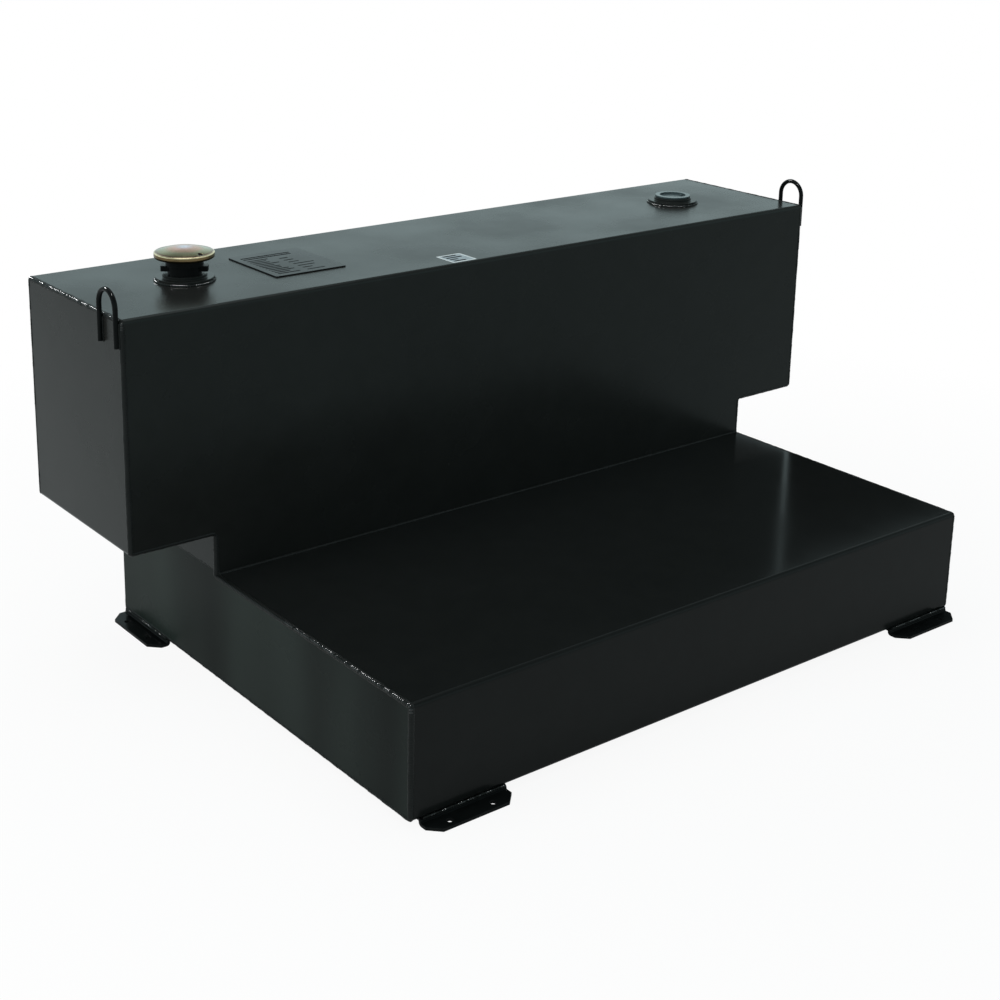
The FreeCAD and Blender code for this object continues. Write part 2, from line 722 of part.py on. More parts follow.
def make_filler_neck(doc):
    body = fitting_body(doc, "filler_neck", -1, cell("ear_turn"))
    thread, neck, collar = "(Sizes.thread_diameter / 2)", "(Sizes.neck_diameter / 2)", "(Sizes.collar_diameter / 2)"
    bore, lip, high = "(Sizes.neck_bore / 2)", "(Sizes.lip_bore / 2)", cell("neck_height")
    low = "-Sizes.thread_depth"
    add_profile(body, "NeckProfile", [
        ("0", low),
        (thread, low),
        (thread, cell("hub_height")),
        (neck, cell("hub_height")),
        (neck, cell("ear_high")),
        (collar, cell("ear_high")),
        (collar, high),
        ("0", high),
    ])
    ears = new_sketch(body, "XY_Plane", "EarOutline", cell("ear_low"))
    tip, half = "(Sizes.ear_span / 2)", "(Sizes.ear_width / 2)"
    draw_outline(ears, [
        (f"-{tip}", f"-{half}", cell("ear_corner")),
        (tip, f"-{half}", cell("ear_corner")),
        (tip, half, cell("ear_corner")),
        (f"-{tip}", half, cell("ear_corner")),
    ])
    add_pad(body, ears, "Sizes.ear_high - Sizes.ear_low")
    under = f"({high} - Sizes.lip_plate)"
    add_profile(body, "BoreProfile", [
        ("0", f"({low} - 1)"),
        (bore, f"({low} - 1)"),
        (bore, under),
        (lip, under),
        (lip, f"({high} + 1)"),
        ("0", f"({high} + 1)"),
    ], "PartDesign::Groove")
    notches = new_sketch(body, "XY_Plane", "NotchOutline", high)
    width, reach = "(Sizes.notch_width / 2)", "(Sizes.neck_bore / 2 - Sizes.notch_wall)"
    draw_outline(notches, [(f"-{width}", f"-{reach}"), (width, f"-{reach}"), (width, reach), (f"-{width}", reach)])
    cut_through(body, notches, cell("lip_plate"))


def make_gasket(doc, name, side, inner, outer, low, plate):
    body = fitting_body(doc, name, side)
    add_profile(body, "RingProfile", [
        (f"({inner} / 2)", low),
        (f"({outer} / 2)", low),
        (f"({outer} / 2)", f"({low} + {plate})"),
        (f"({inner} / 2)", f"({low} + {plate})"),
    ])


def make_cap_shell(doc):
    # crowned pressing with its rim turned down and curled under the cap plate, and a slot that lets air in
    body = fitting_body(doc, "cap_shell", -1, cell("vent_slot_turn"))
    rim, gauge, skin = "(Sizes.cap_diameter / 2)", cell("cap_sheet"), cell("cap_rim")
    shoulder, flat = f"({rim} - {skin})", cell("cap_flat")
    crown, lip = f"({RIM_HIGH} + Sizes.cap_dome)", f"({CURL_LOW} + {gauge})"
    curl = f"({shoulder} - Sizes.cap_curl)"
    add_profile(body, "ShellProfile", [
        ("0", crown),
        (flat, crown),
        (shoulder, RIM_HIGH),
        (rim, f"({RIM_HIGH} - {skin})"),
        (rim, f"({CURL_LOW} + {skin})"),
        (shoulder, CURL_LOW),
        (curl, CURL_LOW),
        (curl, lip),
        (shoulder, lip),
        (f"({rim} - {gauge})", f"({CURL_LOW} + {skin})"),
        (f"({rim} - {gauge})", f"({RIM_HIGH} - {skin})"),
        (shoulder, f"({RIM_HIGH} - {gauge})"),
        (flat, f"({crown} - {gauge})"),
        ("0", f"({crown} - {gauge})"),
    ])
    slot = new_sketch(body, "XY_Plane", "VentSlot", RIM_HIGH)
    half = "(Sizes.vent_slot_width / 2)"
    inner = "(Sizes.vent_slot_radius - Sizes.vent_slot_length / 2)"
    outer = "(Sizes.vent_slot_radius + Sizes.vent_slot_length / 2)"
    draw_outline(slot, [(f"-{half}", f"-{outer}"), (half, f"-{outer}"), (half, f"-{inner}"), (f"-{half}", f"-{inner}")])
    cut_through(body, slot, cell("cap_dome"), reverse=True)


def make_cap_plate(doc):
    # pressed pan that closes the shell from below and pushes the gasket onto the neck
    body = fitting_body(doc, "cap_plate", -1)
    gauge, hole = cell("cap_sheet"), "(Sizes.valve_stem)"
    pan, rim = "(Sizes.pan_diameter / 2)", "(Sizes.plate_diameter / 2)"
    edge = f"({CURL_LOW} + {gauge})"
    add_profile(body, "PanProfile", [
        (hole, PAN_LOW),
        (pan, PAN_LOW),
        (pan, edge),
        (rim, edge),
        (rim, f"({edge} + {gauge})"),
        (f"({pan} + {gauge})", f"({edge} + {gauge})"),
        (f"({pan} + {gauge})", f"({PAN_LOW} + {gauge})"),
        (hole, f"({PAN_LOW} + {gauge})"),
    ])


def make_cap_bayonet(doc):
    # cup inside the neck's mouth, with two tabs that turn in under the neck's lip
    body = fitting_body(doc, "cap_bayonet", -1, cell("ear_turn"))
    gauge, cup = cell("cap_sheet"), "(Sizes.cup_diameter / 2)"
    brim = "(Sizes.gasket_inner / 2 - Sizes.seal_margin)"
    low, hole = f"({PAN_LOW} - Sizes.cup_depth)", "(Sizes.valve_stem / 2 + Sizes.seal_gap)"
    add_profile(body, "CupProfile", [
        (hole, low),
        (cup, low),
        (cup, f"({PAN_LOW} - {gauge})"),
        (brim, f"({PAN_LOW} - {gauge})"),
        (brim, PAN_LOW),
        (f"({cup} - {gauge})", PAN_LOW),
        (f"({cup} - {gauge})", f"({low} + {gauge})"),
        (hole, f"({low} + {gauge})"),
    ])
    tab_low = "(Sizes.neck_height - Sizes.lip_plate - Sizes.tab_drop - Sizes.tab_plate)"
    tabs = new_sketch(body, "XY_Plane", "TabOutline", tab_low)
    half, reach = "(Sizes.tab_width / 2)", "(Sizes.neck_bore / 2 - Sizes.notch_wall - Sizes.tab_gap)"
    draw_outline(tabs, [(f"-{half}", f"-{reach}"), (half, f"-{reach}"), (half, reach), (f"-{half}", reach)])
    add_pad(body, tabs, cell("tab_plate"))
    add_profile(body, "CupInside", [
        ("0", f"({low} + {gauge})"),
        (f"({cup} - {gauge})", f"({low} + {gauge})"),
        (f"({cup} - {gauge})", f"({PAN_LOW} + 1)"),
        ("0", f"({PAN_LOW} + 1)"),
    ], "PartDesign::Groove")
    holes = new_sketch(body, "XY_Plane", "VentHoles")
    for angle in (45, 225):
        place = f"{cell('vent_hole_radius')} *"
        draw_circle(holes, f"{place} cos({angle})", f"{place} sin({angle})", cell("vent_hole"))
    cut_through(body, holes)


def make_vent_valve(doc):
    # rubber umbrella that lets air into the tank through the cup's vent holes
    body = fitting_body(doc, "vent_valve", -1)
    low, gauge = f"({PAN_LOW} - Sizes.cup_depth)", cell("cap_sheet")
    stem, disc, head = "(Sizes.valve_stem / 2)", "(Sizes.valve_disc / 2)", "(Sizes.valve_stem)"
    add_profile(body, "UmbrellaProfile", [
        ("0", f"({low} - {gauge})"),
        (disc, f"({low} - {gauge})"),
        (disc, low),
        (stem, low),
        (stem, f"({low} + {gauge})"),
        (head, f"({low} + {gauge})"),
        (head, f"({low} + 2 * {gauge})"),
        ("0", f"({low} + 2 * {gauge})"),
    ])


def make_port_plug(doc):
    body = fitting_body(doc, "port_plug", 1)
    low = "(Sizes.hub_height + 2 * Sizes.seal_gap + Sizes.port_gasket_plate)"
    top = f"({low} + Sizes.plug_flange)"
    rim, recess, thread = "(Sizes.plug_diameter / 2)", "(Sizes.plug_recess / 2)", "(Sizes.thread_diameter / 2)"
    floor, skirt = f"({top} - Sizes.plug_recess_depth)", cell("plug_wall")
    end = "-Sizes.plug_tip"
    add_profile(body, "PlugProfile", [
        ("0", floor),
        (recess, floor),
        (recess, top),
        (rim, top),
        (rim, low),
        (thread, low),
        (thread, end),
        (f"({thread} - {skirt})", end),
        (f"({thread} - {skirt})", f"({floor} - {skirt})"),
        ("0", f"({floor} - {skirt})"),
    ])
    lugs = new_sketch(body, "XY_Plane", "WrenchLugs", floor)
    half, inner = "(Sizes.plug_lug / 2)", f"({recess} - Sizes.plug_lug)"
    for side in (-1, 1):
        draw_outline(lugs, [
            (f"{side} * {inner}", f"-{half}"),
            (f"{side} * ({recess} + 1)", f"-{half}"),
            (f"{side} * ({recess} + 1)", half),
            (f"{side} * {inner}", half),
        ])
    add_pad(body, lugs, "Sizes.plug_recess_depth / 2")


def make_data_plate(doc):
    # beside the filler, clear of its flange's weld
    across, deep, corner = "(Sizes.data_plate_width / 2)", "(Sizes.data_plate_depth / 2)", cell("data_plate_corner")
    weld = "(Sizes.flange_diameter / 2 + Sizes.flange_weld)"
    place = f"-({UPPER_SIDE} - Sizes.fitting_inset) + {weld} + Sizes.data_plate_clearance + {across}"
    body = new_body(doc, "data_plate", x=place, y=f"{UPPER_FRONT} + Sizes.data_plate_setback", z=TOP)
    outline = new_sketch(body, "XY_Plane", "PlateOutline")
    draw_outline(outline, [
        (f"-{across}", f"-{deep}", corner),
        (across, f"-{deep}", corner),
        (across, deep, corner),
        (f"-{across}", deep, corner),
    ])
    add_pad(body, outline, cell("data_plate_gauge"))


def make_fittings(doc):
    for name, side in (("filler", -1), ("port", 1)):
        make_flange(doc, f"{name}_flange", side)
        make_flange_weld(doc, f"{name}_flange_weld", side)
    make_filler_neck(doc)
    seal_rim = "(Sizes.collar_diameter - Sizes.seal_margin)"
    make_gasket(doc, "filler_gasket", -1, cell("gasket_inner"), seal_rim, GASKET_LOW, cell("gasket_plate"))
    make_cap_shell(doc)
    make_cap_plate(doc)
    make_cap_bayonet(doc)
    make_vent_valve(doc)
    thread = "(Sizes.thread_diameter + 4 * Sizes.seal_gap)"
    seat = "(Sizes.hub_height + Sizes.seal_gap)"
    make_gasket(doc, "port_gasket", 1, thread, cell("plug_diameter"), seat, cell("port_gasket_plate"))
    make_port_plug(doc)
    make_data_plate(doc)


def make_cross_baffles(doc):
    web, wall = "(Sizes.baffle_spacing / 2)", f"({LOWER_SIDE} - {GAUGE})"
    make_cross_baffle(doc, "cross_baffle_left", f"(-{wall})", f"(-{web} - {GAUGE})")
    make_cross_baffle(doc, "cross_baffle_centre", f"(-{web})", web)
    make_cross_baffle(doc, "cross_baffle_right", f"({web} + {GAUGE})", wall)


def check_document(doc):
    for item in doc.Objects:
        if "Invalid" in item.State or "Error" in item.State:
            raise RuntimeError(f"{item.Label} failed: {item.State}")
    for body in doc.findObjects("PartDesign::Body"):
        shape = body.Shape
        if shape.isNull() or not shape.isValid() or not shape.Solids:
            raise RuntimeError(f"{body.Label} has no valid solid")


def write_parts(doc):
    os.makedirs("parts", exist_ok=True)
    for body in doc.findObjects("PartDesign::Body"):
        body.Shape.exportStep(f"parts/{body.Label}.step")
        print(f"{body.Label}: {body.Shape.Volume / 1000:.1f} cm3")


def build():
    doc = FreeCAD.newDocument("fuel_tank")
    make_sheet(doc)
    make_upper_wrap(doc)
    make_lower_shell(doc)
    for name, side in (("left", -1), ("right", 1)):
        make_upper_end(doc, f"upper_end_{name}", side)
        make_upper_seam(doc, f"upper_seam_{name}", side)
        make_lower_end(doc, f"lower_end_{name}", side)
        make_lower_seam(doc, f"lower_seam_{name}", side)
        make_upper_baffle(doc, f"upper_baffle_{name}", side)
        make_lower_baffle(doc, f"lower_baffle_{name}", side)
        make_lifting_eye(doc, f"lifting_eye_{name}", side)
    make_rear_bottom_seam(doc)
    make_deck_seam(doc)
    make_cross_baffles(doc)
    make_feet(doc)
    make_fittings(doc)
    doc.recompute()
    check_document(doc)
    write_parts(doc)


build()
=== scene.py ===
import json
import math

import bmesh
import bpy
from mathutils import Matrix, Vector


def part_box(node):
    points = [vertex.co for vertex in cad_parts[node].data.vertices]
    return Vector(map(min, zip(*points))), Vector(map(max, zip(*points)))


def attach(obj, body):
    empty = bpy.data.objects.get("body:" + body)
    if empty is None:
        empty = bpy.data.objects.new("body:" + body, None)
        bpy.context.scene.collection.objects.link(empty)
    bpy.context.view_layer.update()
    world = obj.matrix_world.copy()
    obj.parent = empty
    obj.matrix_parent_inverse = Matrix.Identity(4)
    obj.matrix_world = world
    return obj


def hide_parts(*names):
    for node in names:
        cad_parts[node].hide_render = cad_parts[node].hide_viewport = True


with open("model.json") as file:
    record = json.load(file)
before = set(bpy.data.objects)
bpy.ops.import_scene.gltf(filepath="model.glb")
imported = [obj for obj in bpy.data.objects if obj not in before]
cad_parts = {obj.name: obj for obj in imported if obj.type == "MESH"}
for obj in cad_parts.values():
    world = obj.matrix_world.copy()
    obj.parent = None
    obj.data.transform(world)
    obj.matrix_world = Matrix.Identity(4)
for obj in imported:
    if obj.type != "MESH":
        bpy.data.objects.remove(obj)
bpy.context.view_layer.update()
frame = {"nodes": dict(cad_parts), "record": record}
scene = bpy.context.scene
mm = 0.001


# small helpers

def addNode(tree, kind, **settings):
    node = tree.nodes.new(kind)
    for name, value in settings.items():
        setattr(node, name, value)
    return node


def socketOf(sockets, identifier):
    return next(s for s in sockets if s.identifier == identifier)


def newTree(kind, name, inputs, outputs):  # node group with named sockets; a value after the kind is the default
    tree = bpy.data.node_groups.new(name, kind)
    for label, socketKind, *default in inputs:
        socket = tree.interface.new_socket(label, in_out="INPUT", socket_type="NodeSocket" + socketKind)
        if default:
            socket.default_value = default[0]
    for label, socketKind in outputs:
        tree.interface.new_socket(label, in_out="OUTPUT", socket_type="NodeSocket" + socketKind)
    return tree, addNode(tree, "NodeGroupInput").outputs, addNode(tree, "NodeGroupOutput").inputs


def feed(tree, socket, value):  # a number or a colour is set, an output is linked
    if isinstance(value, (int, float, tuple)):
        socket.default_value = value
    elif value is not None:
        tree.links.new(value, socket)


def mathStep(tree, operation, first, second=None, clamp=False):
    node = addNode(tree, "ShaderNodeMath", operation=operation, use_clamp=clamp)
    feed(tree, node.inputs[0], first)
    feed(tree, node.inputs[1], second)
    return node.outputs[0]


def mapValue(tree, value, low, high, newLow, newHigh):
    node = addNode(tree, "ShaderNodeMapRange")
    labels = ("Value", "From Min", "From Max", "To Min", "To Max")
    for label, given in zip(labels, (value, low, high, newLow, newHigh)):
        feed(tree, node.inputs[label], given)
    return node.outputs[0]


def noiseOf(tree, vector, scale, detail):
    node = addNode(tree, "ShaderNodeTexNoise")
    for label, given in (("Vector", vector), ("Scale", scale), ("Detail", detail)):
        feed(tree, node.inputs[label], given)
    return node.outputs[0]


def mixColour(tree, mask, first, second):
    node = addNode(tree, "ShaderNodeMix", data_type="RGBA")
    for name, given in (("Factor_Float", mask), ("A_Color", first), ("B_Color", second)):
        feed(tree, socketOf(node.inputs, name), given)
    return socketOf(node.outputs, "Result_Color")


# effects that several finishes share

def buildPaintRelief():  # orange peel of sprayed paint over sheet that is never quite flat, in metres
    tree, given, out = newTree("ShaderNodeTree", "paintRelief", [
        ("Vector", "Vector"), ("Peel Scale", "Float", 900.0), ("Peel Depth", "Float", 0.00001),
        ("Sheet Scale", "Float", 3.0), ("Sheet Depth", "Float", 0.0006)], [("Height", "Float")])
    heights = []
    for word in ("Peel", "Sheet"):
        cloud = noiseOf(tree, given["Vector"], given[word + " Scale"], 1.0)
        heights.append(mathStep(tree, "MULTIPLY", cloud, given[word + " Depth"]))
    tree.links.new(mathStep(tree, "ADD", *heights), out["Height"])
    return tree


def buildDustFilm():  # thin dust on what faces up
    tree, given, out = newTree("ShaderNodeTree", "dustFilm", [
        ("Vector", "Vector"), ("Scale", "Float", 14.0), ("Amount", "Float", 0.2)], [("Mask", "Float")])
    normal = addNode(tree, "ShaderNodeSeparateXYZ")
    tree.links.new(addNode(tree, "ShaderNodeNewGeometry").outputs["Normal"], normal.inputs[0])
    facing = mapValue(tree, normal.outputs["Z"], 0.1, 0.95, 0.12, 1.0)
    cloud = mapValue(tree, noiseOf(tree, given["Vector"], given["Scale"], 6.0), 0.35, 0.75, 0.3, 1.0)
    mask = mathStep(tree, "MULTIPLY", mathStep(tree, "MULTIPLY", facing, cloud), given["Amount"], clamp=True)
    tree.links.new(mask, out["Mask"])
    return tree


def buildEdgeWear():  # paint thinned on outer edges
    tree, given, out = newTree("ShaderNodeTree", "edgeWear", [
        ("Vector", "Vector"), ("Width", "Float", 0.0012), ("Scale", "Float", 90.0), ("Amount", "Float", 0.5)],
        [("Mask", "Float")])
    bevel = addNode(tree, "ShaderNodeBevel", samples=4)
    tree.links.new(given["Width"], bevel.inputs["Radius"])
    turned = addNode(tree, "ShaderNodeVectorMath", operation="DOT_PRODUCT")
    tree.links.new(bevel.outputs[0], turned.inputs[0])
    tree.links.new(addNode(tree, "ShaderNodeNewGeometry").outputs["Normal"], turned.inputs[1])
    edge = mapValue(tree, turned.outputs["Value"], 0.98, 0.80, 0.0, 1.0)
    broken = mapValue(tree, noiseOf(tree, given["Vector"], given["Scale"], 4.0), 0.42, 0.62, 0.0, 1.0)
    worn = mathStep(tree, "MULTIPLY", edge, broken)
    tree.links.new(mathStep(tree, "MULTIPLY", worn, given["Amount"]), out["Mask"])
    return tree


def buildSheenMottle():  # uneven gloss left by handling and overspray
    tree, given, out = newTree("ShaderNodeTree", "sheenMottle", [
        ("Vector", "Vector"), ("Scale", "Float", 6.0), ("Low", "Float", 0.3), ("High", "Float", 0.4)],
        [("Roughness", "Float")])
    cloud = noiseOf(tree, given["Vector"], given["Scale"], 5.0)
    tree.links.new(mapValue(tree, cloud, 0.3, 0.7, given["Low"], given["High"]), out["Roughness"])
    return tree


paintRelief, dustFilm = buildPaintRelief(), buildDustFilm()
edgeWear, sheenMottle = buildEdgeWear(), buildSheenMottle()


def placeGroup(tree, group, vector, **values):
    node = addNode(tree, "ShaderNodeGroup", node_tree=group)
    tree.links.new(vector, node.inputs["Vector"])
    for name, value in values.items():
        node.inputs[name.replace("_", " ")].default_value = value
    return node.outputs[0]


def newMaterial(name, level):
    material = bpy.data.materials.new(name)
    material.use_nodes = True
    tree = material.node_tree
    shader = tree.nodes["Principled BSDF"]
    shader.inputs["Specular IOR Level"].default_value = level
    vector = addNode(tree, "ShaderNodeTexCoord").outputs["Object"]
    return material, tree, shader, vector


def reliefNormal(tree, shader, height):
    bump = addNode(tree, "ShaderNodeBump")
    bump.inputs["Strength"].default_value = 1.0
    bump.inputs["Distance"].default_value = 1.0
    tree.links.new(height, bump.inputs["Height"])
    tree.links.new(bump.outputs[0], shader.inputs["Normal"])


dustTone, primerTone = (0.42, 0.43, 0.44, 1), (0.25, 0.26, 0.27, 1)


def makeCoating(name, look):  # sprayed or dipped finish with dust, worn edges and relief
    material, tree, shader, vector = newMaterial(name, look["level"])
    shader.inputs["Metallic"].default_value = look.get("metal", 0.0)
    shader.inputs["Specular Tint"].default_value = look.get("tint", (1, 1, 1, 1))
    shader.inputs["IOR"].default_value = look.get("ior", 1.5)
    speckStretch = addNode(tree, "ShaderNodeMapping")
    speckStretch.inputs["Scale"].default_value = look.get("speckStretch", (1, 1, 1))
    tree.links.new(vector, speckStretch.inputs["Vector"])
    # the speckle mixes colour and colour2; stretched for the lower ends, it paints soft vertical reflection bands
    cloud = noiseOf(tree, speckStretch.outputs[0], look.get("speckScale", 30.0), look.get("speckDetail", 5.0))
    speck = mapValue(tree, cloud, 0.3, 0.7, 0.0, 1.0)
    dust = placeGroup(tree, dustFilm, vector, Amount=look["dust"])
    worn = placeGroup(tree, edgeWear, vector, Amount=look["wear"])
    colour = mixColour(tree, dust, mixColour(tree, speck, look["colour"], look["colour2"]), dustTone)
    tree.links.new(mixColour(tree, worn, colour, primerTone), shader.inputs["Base Color"])
    low, high = look["rough"]
    rough = placeGroup(tree, sheenMottle, vector, Low=low, High=high)
    dusty = mathStep(tree, "ADD", rough, mathStep(tree, "MULTIPLY", dust, 0.5), clamp=True)
    tree.links.new(dusty, shader.inputs["Roughness"])
    reliefNormal(tree, shader, placeGroup(tree, paintRelief, vector, **look["relief"]))
    return material


# finishes
shellPaint = makeCoating("satinBlackShellPaint", {
    "colour": (0.0126, 0.0126, 0.0117, 1), "colour2": (0.0146, 0.0146, 0.0137, 1), "level": 0.12,
    "tint": (0.77, 1.0, 1.0, 1), "dust": 0.004, "wear": 0.05, "rough": (0.20, 0.32),
    "relief": {"Peel_Scale": 500.0, "Peel_Depth": 0.000006, "Sheet_Depth": 0.0018}})
# painted shade and painted reflection: a less glossy, green-cast copy of the shell paint for the lower ends, darker
# as shade under the overhang, with vertical reflection bands
shadedLowEndPaint = makeCoating("satinBlackLowEndPaintedShade", {
    "colour": (0.0030, 0.0045, 0.0038, 1), "colour2": (0.0230, 0.0310, 0.0270, 1), "level": 0.05,
    "speckStretch": (1, 1, 0.16), "speckScale": 5.0, "speckDetail": 1.5, "tint": (0.84, 1.0, 0.98, 1), "dust": 0.006,
    "wear": 0.05, "rough": (0.24, 0.34), "relief": {"Peel_Depth": 0.000012, "Sheet_Depth": 0.0011}})
# painted shade: a darker, less glossy copy of the shell paint for the lower shell's deck, front and bottom
shadedDeckPaint = makeCoating("satinBlackDeckPaintedShade", {
    "colour": (0.0084, 0.0092, 0.0088, 1), "colour2": (0.0096, 0.0104, 0.0100, 1), "level": 0.08,
    "dust": 0.002, "wear": 0.05, "rough": (0.12, 0.18), "relief": {"Peel_Depth": 0.000010, "Sheet_Depth": 0.0008}})
beadPaint = makeCoating("blackPaintOverWeld", {
    "colour": (0.004, 0.005, 0.005, 1), "colour2": (0.008, 0.009, 0.009, 1), "level": 0.4,
    "dust": 0.0, "wear": 0.0, "rough": (0.10, 0.24), "relief": {"Peel_Depth": 0.00001, "Sheet_Depth": 0.0}})
footPaint = makeCoating("darkFootPaint", {
    "colour": (0.004, 0.005, 0.005, 1), "colour2": (0.008, 0.009, 0.009, 1), "level": 0.5, "ior": 1.15,
    "dust": 0.0, "wear": 0.1, "rough": (0.2, 0.32), "relief": {"Peel_Depth": 0.00001, "Sheet_Depth": 0.0}})
dullBeadPaint = makeCoating("dullPaintOverWeld", {
    "colour": (0.005, 0.006, 0.0055, 1), "colour2": (0.008, 0.009, 0.0085, 1), "level": 0.14,
    "dust": 0.0, "wear": 0.0, "rough": (0.25, 0.4), "relief": {"Peel_Depth": 0.00001, "Sheet_Depth": 0.0}})
glossPaint = makeCoating("glossBlackRodPaint", {
    "colour": (0.004, 0.005, 0.005, 1), "colour2": (0.007, 0.008, 0.008, 1), "level": 0.5, "ior": 1.12,
    "dust": 0.0, "wear": 0.0, "rough": (0.10, 0.16), "relief": {"Peel_Depth": 0.000012, "Sheet_Depth": 0.0}})
neckPaint = makeCoating("blackCastNeckPaint", {
    "colour": (0.004, 0.0045, 0.0045, 1), "colour2": (0.008, 0.0085, 0.0085, 1), "level": 0.5, "ior": 1.18,
    "dust": 0.01, "wear": 0.0, "rough": (0.26, 0.4),
    "relief": {"Peel_Scale": 1400.0, "Peel_Depth": 0.00008, "Sheet_Depth": 0.0}})
plugPaint = makeCoating("slateGreyPlugFinish", {
    "colour": (0.045, 0.068, 0.074, 1), "colour2": (0.055, 0.078, 0.084, 1), "level": 0.3, "dust": 0.05,
    "wear": 0.1, "rough": (0.18, 0.28),
    "relief": {"Peel_Scale": 900.0, "Peel_Depth": 0.00001, "Sheet_Depth": 0.0}})
bareSteel = makeCoating("oiledSheetSteel", {
    "colour": (0.42, 0.42, 0.41, 1), "colour2": (0.34, 0.34, 0.33, 1), "level": 0.5, "metal": 1.0, "dust": 0.0,
    "wear": 0.0, "rough": (0.3, 0.46), "speckScale": 60.0,
    "relief": {"Peel_Scale": 500.0, "Peel_Depth": 0.00003, "Sheet_Depth": 0.0004}})
sealRubber = makeCoating("fuelProofRubber", {
    "colour": (0.012, 0.012, 0.012, 1), "colour2": (0.018, 0.018, 0.018, 1), "level": 0.3, "dust": 0.06,
    "wear": 0.0, "rough": (0.55, 0.7),
    "relief": {"Peel_Scale": 2500.0, "Peel_Depth": 0.00004, "Sheet_Depth": 0.0}})
plateFilm = makeCoating("darkPlateFilm", {
    "colour": (0.010, 0.011, 0.012, 1), "colour2": (0.012, 0.013, 0.014, 1), "level": 0.10, "dust": 0.004,
    "wear": 0.0, "rough": (0.22, 0.32), "relief": {"Peel_Depth": 0.000006, "Sheet_Depth": 0.0003}})
barInk = makeCoating("mattBarInk", {
    "colour": (0.006, 0.006, 0.007, 1), "colour2": (0.008, 0.008, 0.009, 1), "level": 0.02, "dust": 0.0,
    "wear": 0.0, "rough": (0.6, 0.7), "relief": {"Sheet_Depth": 0.0}})
labelPaper = makeCoating("whiteLabelPaper", {
    "colour": (0.62, 0.65, 0.66, 1), "colour2": (0.68, 0.71, 0.72, 1), "level": 0.1, "dust": 0.02,
    "wear": 0.0, "rough": (0.35, 0.45), "relief": {"Peel_Scale": 1800.0, "Peel_Depth": 0.00001, "Sheet_Depth": 0.0}})
labelField = makeCoating("paleLabelField", {
    "colour": (0.28, 0.33, 0.36, 1), "colour2": (0.34, 0.39, 0.42, 1), "level": 0.1, "dust": 0.02,
    "wear": 0.0, "rough": (0.35, 0.45), "relief": {"Peel_Scale": 1800.0, "Peel_Depth": 0.00001, "Sheet_Depth": 0.0}})


def makeCapPlatingAndPaintedLight(name, centre, look):  # yellow chromate over a pressing: rings of interference colour, with painted light: a pale reflection at the crown, a dark reflection band and a highlight at the rim, and shade on the skirt and in the vent dimple
    material, tree, shader, vector = newMaterial(name, look["level"])
    shader.inputs["Metallic"].default_value = 1.0
    place = addNode(tree, "ShaderNodeMapping")
    place.inputs["Location"].default_value = (-centre.x, -centre.y, -centre.z)
    tree.links.new(vector, place.inputs["Vector"])
    parts = addNode(tree, "ShaderNodeSeparateXYZ")
    tree.links.new(place.outputs[0], parts.inputs[0])
    squares = [mathStep(tree, "MULTIPLY", parts.outputs[axis], parts.outputs[axis]) for axis in "XY"]
    radius = mathStep(tree, "SQRT", mathStep(tree, "ADD", *squares))
    drift = mathStep(tree, "MULTIPLY", noiseOf(tree, place.outputs[0], look["driftScale"], 3.0), look["drift"])
    shifted = mathStep(tree, "ADD", mathStep(tree, "DIVIDE", radius, look["radius"]), drift)
    # painted light in the ramp: a pale reflection at the crown, a dark reflection band inside the rim and a
    # highlight on the rim; the stops between carry the plating's interference colour
    ramp = addNode(tree, "ShaderNodeValToRGB")
    tree.links.new(mathStep(tree, "SUBTRACT", shifted, look["drift"] / 2), ramp.inputs[0])
    while len(ramp.color_ramp.elements) < len(look["rings"]):
        ramp.color_ramp.elements.new(0.5)
    for element, (spot, colour) in zip(ramp.color_ramp.elements, look["rings"]):
        element.position, element.color = spot, (*colour, 1)
    mottle = mapValue(tree, noiseOf(tree, vector, look["mottleScale"], 6.0), 0.35, 0.65, 0.0, look["mottle"])
    stained = mixColour(tree, mottle, ramp.outputs[0], look["stain"])
    # painted shade: below the rim's shoulder the skirt turns darker brown
    skirtShade = mapValue(tree, parts.outputs["Z"], *look["skirtShadeBand"], 0.0, 1.0)
    banded = mixColour(tree, skirtShade, stained, look["skirtShadeColour"])
    level = addNode(tree, "ShaderNodeCombineXYZ")
    for axis in "XY":
        tree.links.new(parts.outputs[axis], level.inputs[axis])
    # painted shade in the vent dimple: the base colour turns near black around the dimple's centre
    toVent = addNode(tree, "ShaderNodeVectorMath", operation="DISTANCE")
    tree.links.new(level.outputs[0], toVent.inputs[0])
    toVent.inputs[1].default_value = look["vent"]
    vent = mapValue(tree, toVent.outputs["Value"], *look["dimpleShadeReach"], 0.0, 1.0)
    tree.links.new(mixColour(tree, vent, banded, look["dimpleShadeColour"]), shader.inputs["Base Color"])
    low, high = look["rough"]
    rough = placeGroup(tree, sheenMottle, vector, Low=low, High=high, Scale=look["sheenScale"])
    tree.links.new(rough, shader.inputs["Roughness"])
    reliefNormal(tree, shader, placeGroup(tree, paintRelief, vector, **look["relief"]))
    return material


print("finishes made")


# Geometry Nodes for the weld beads

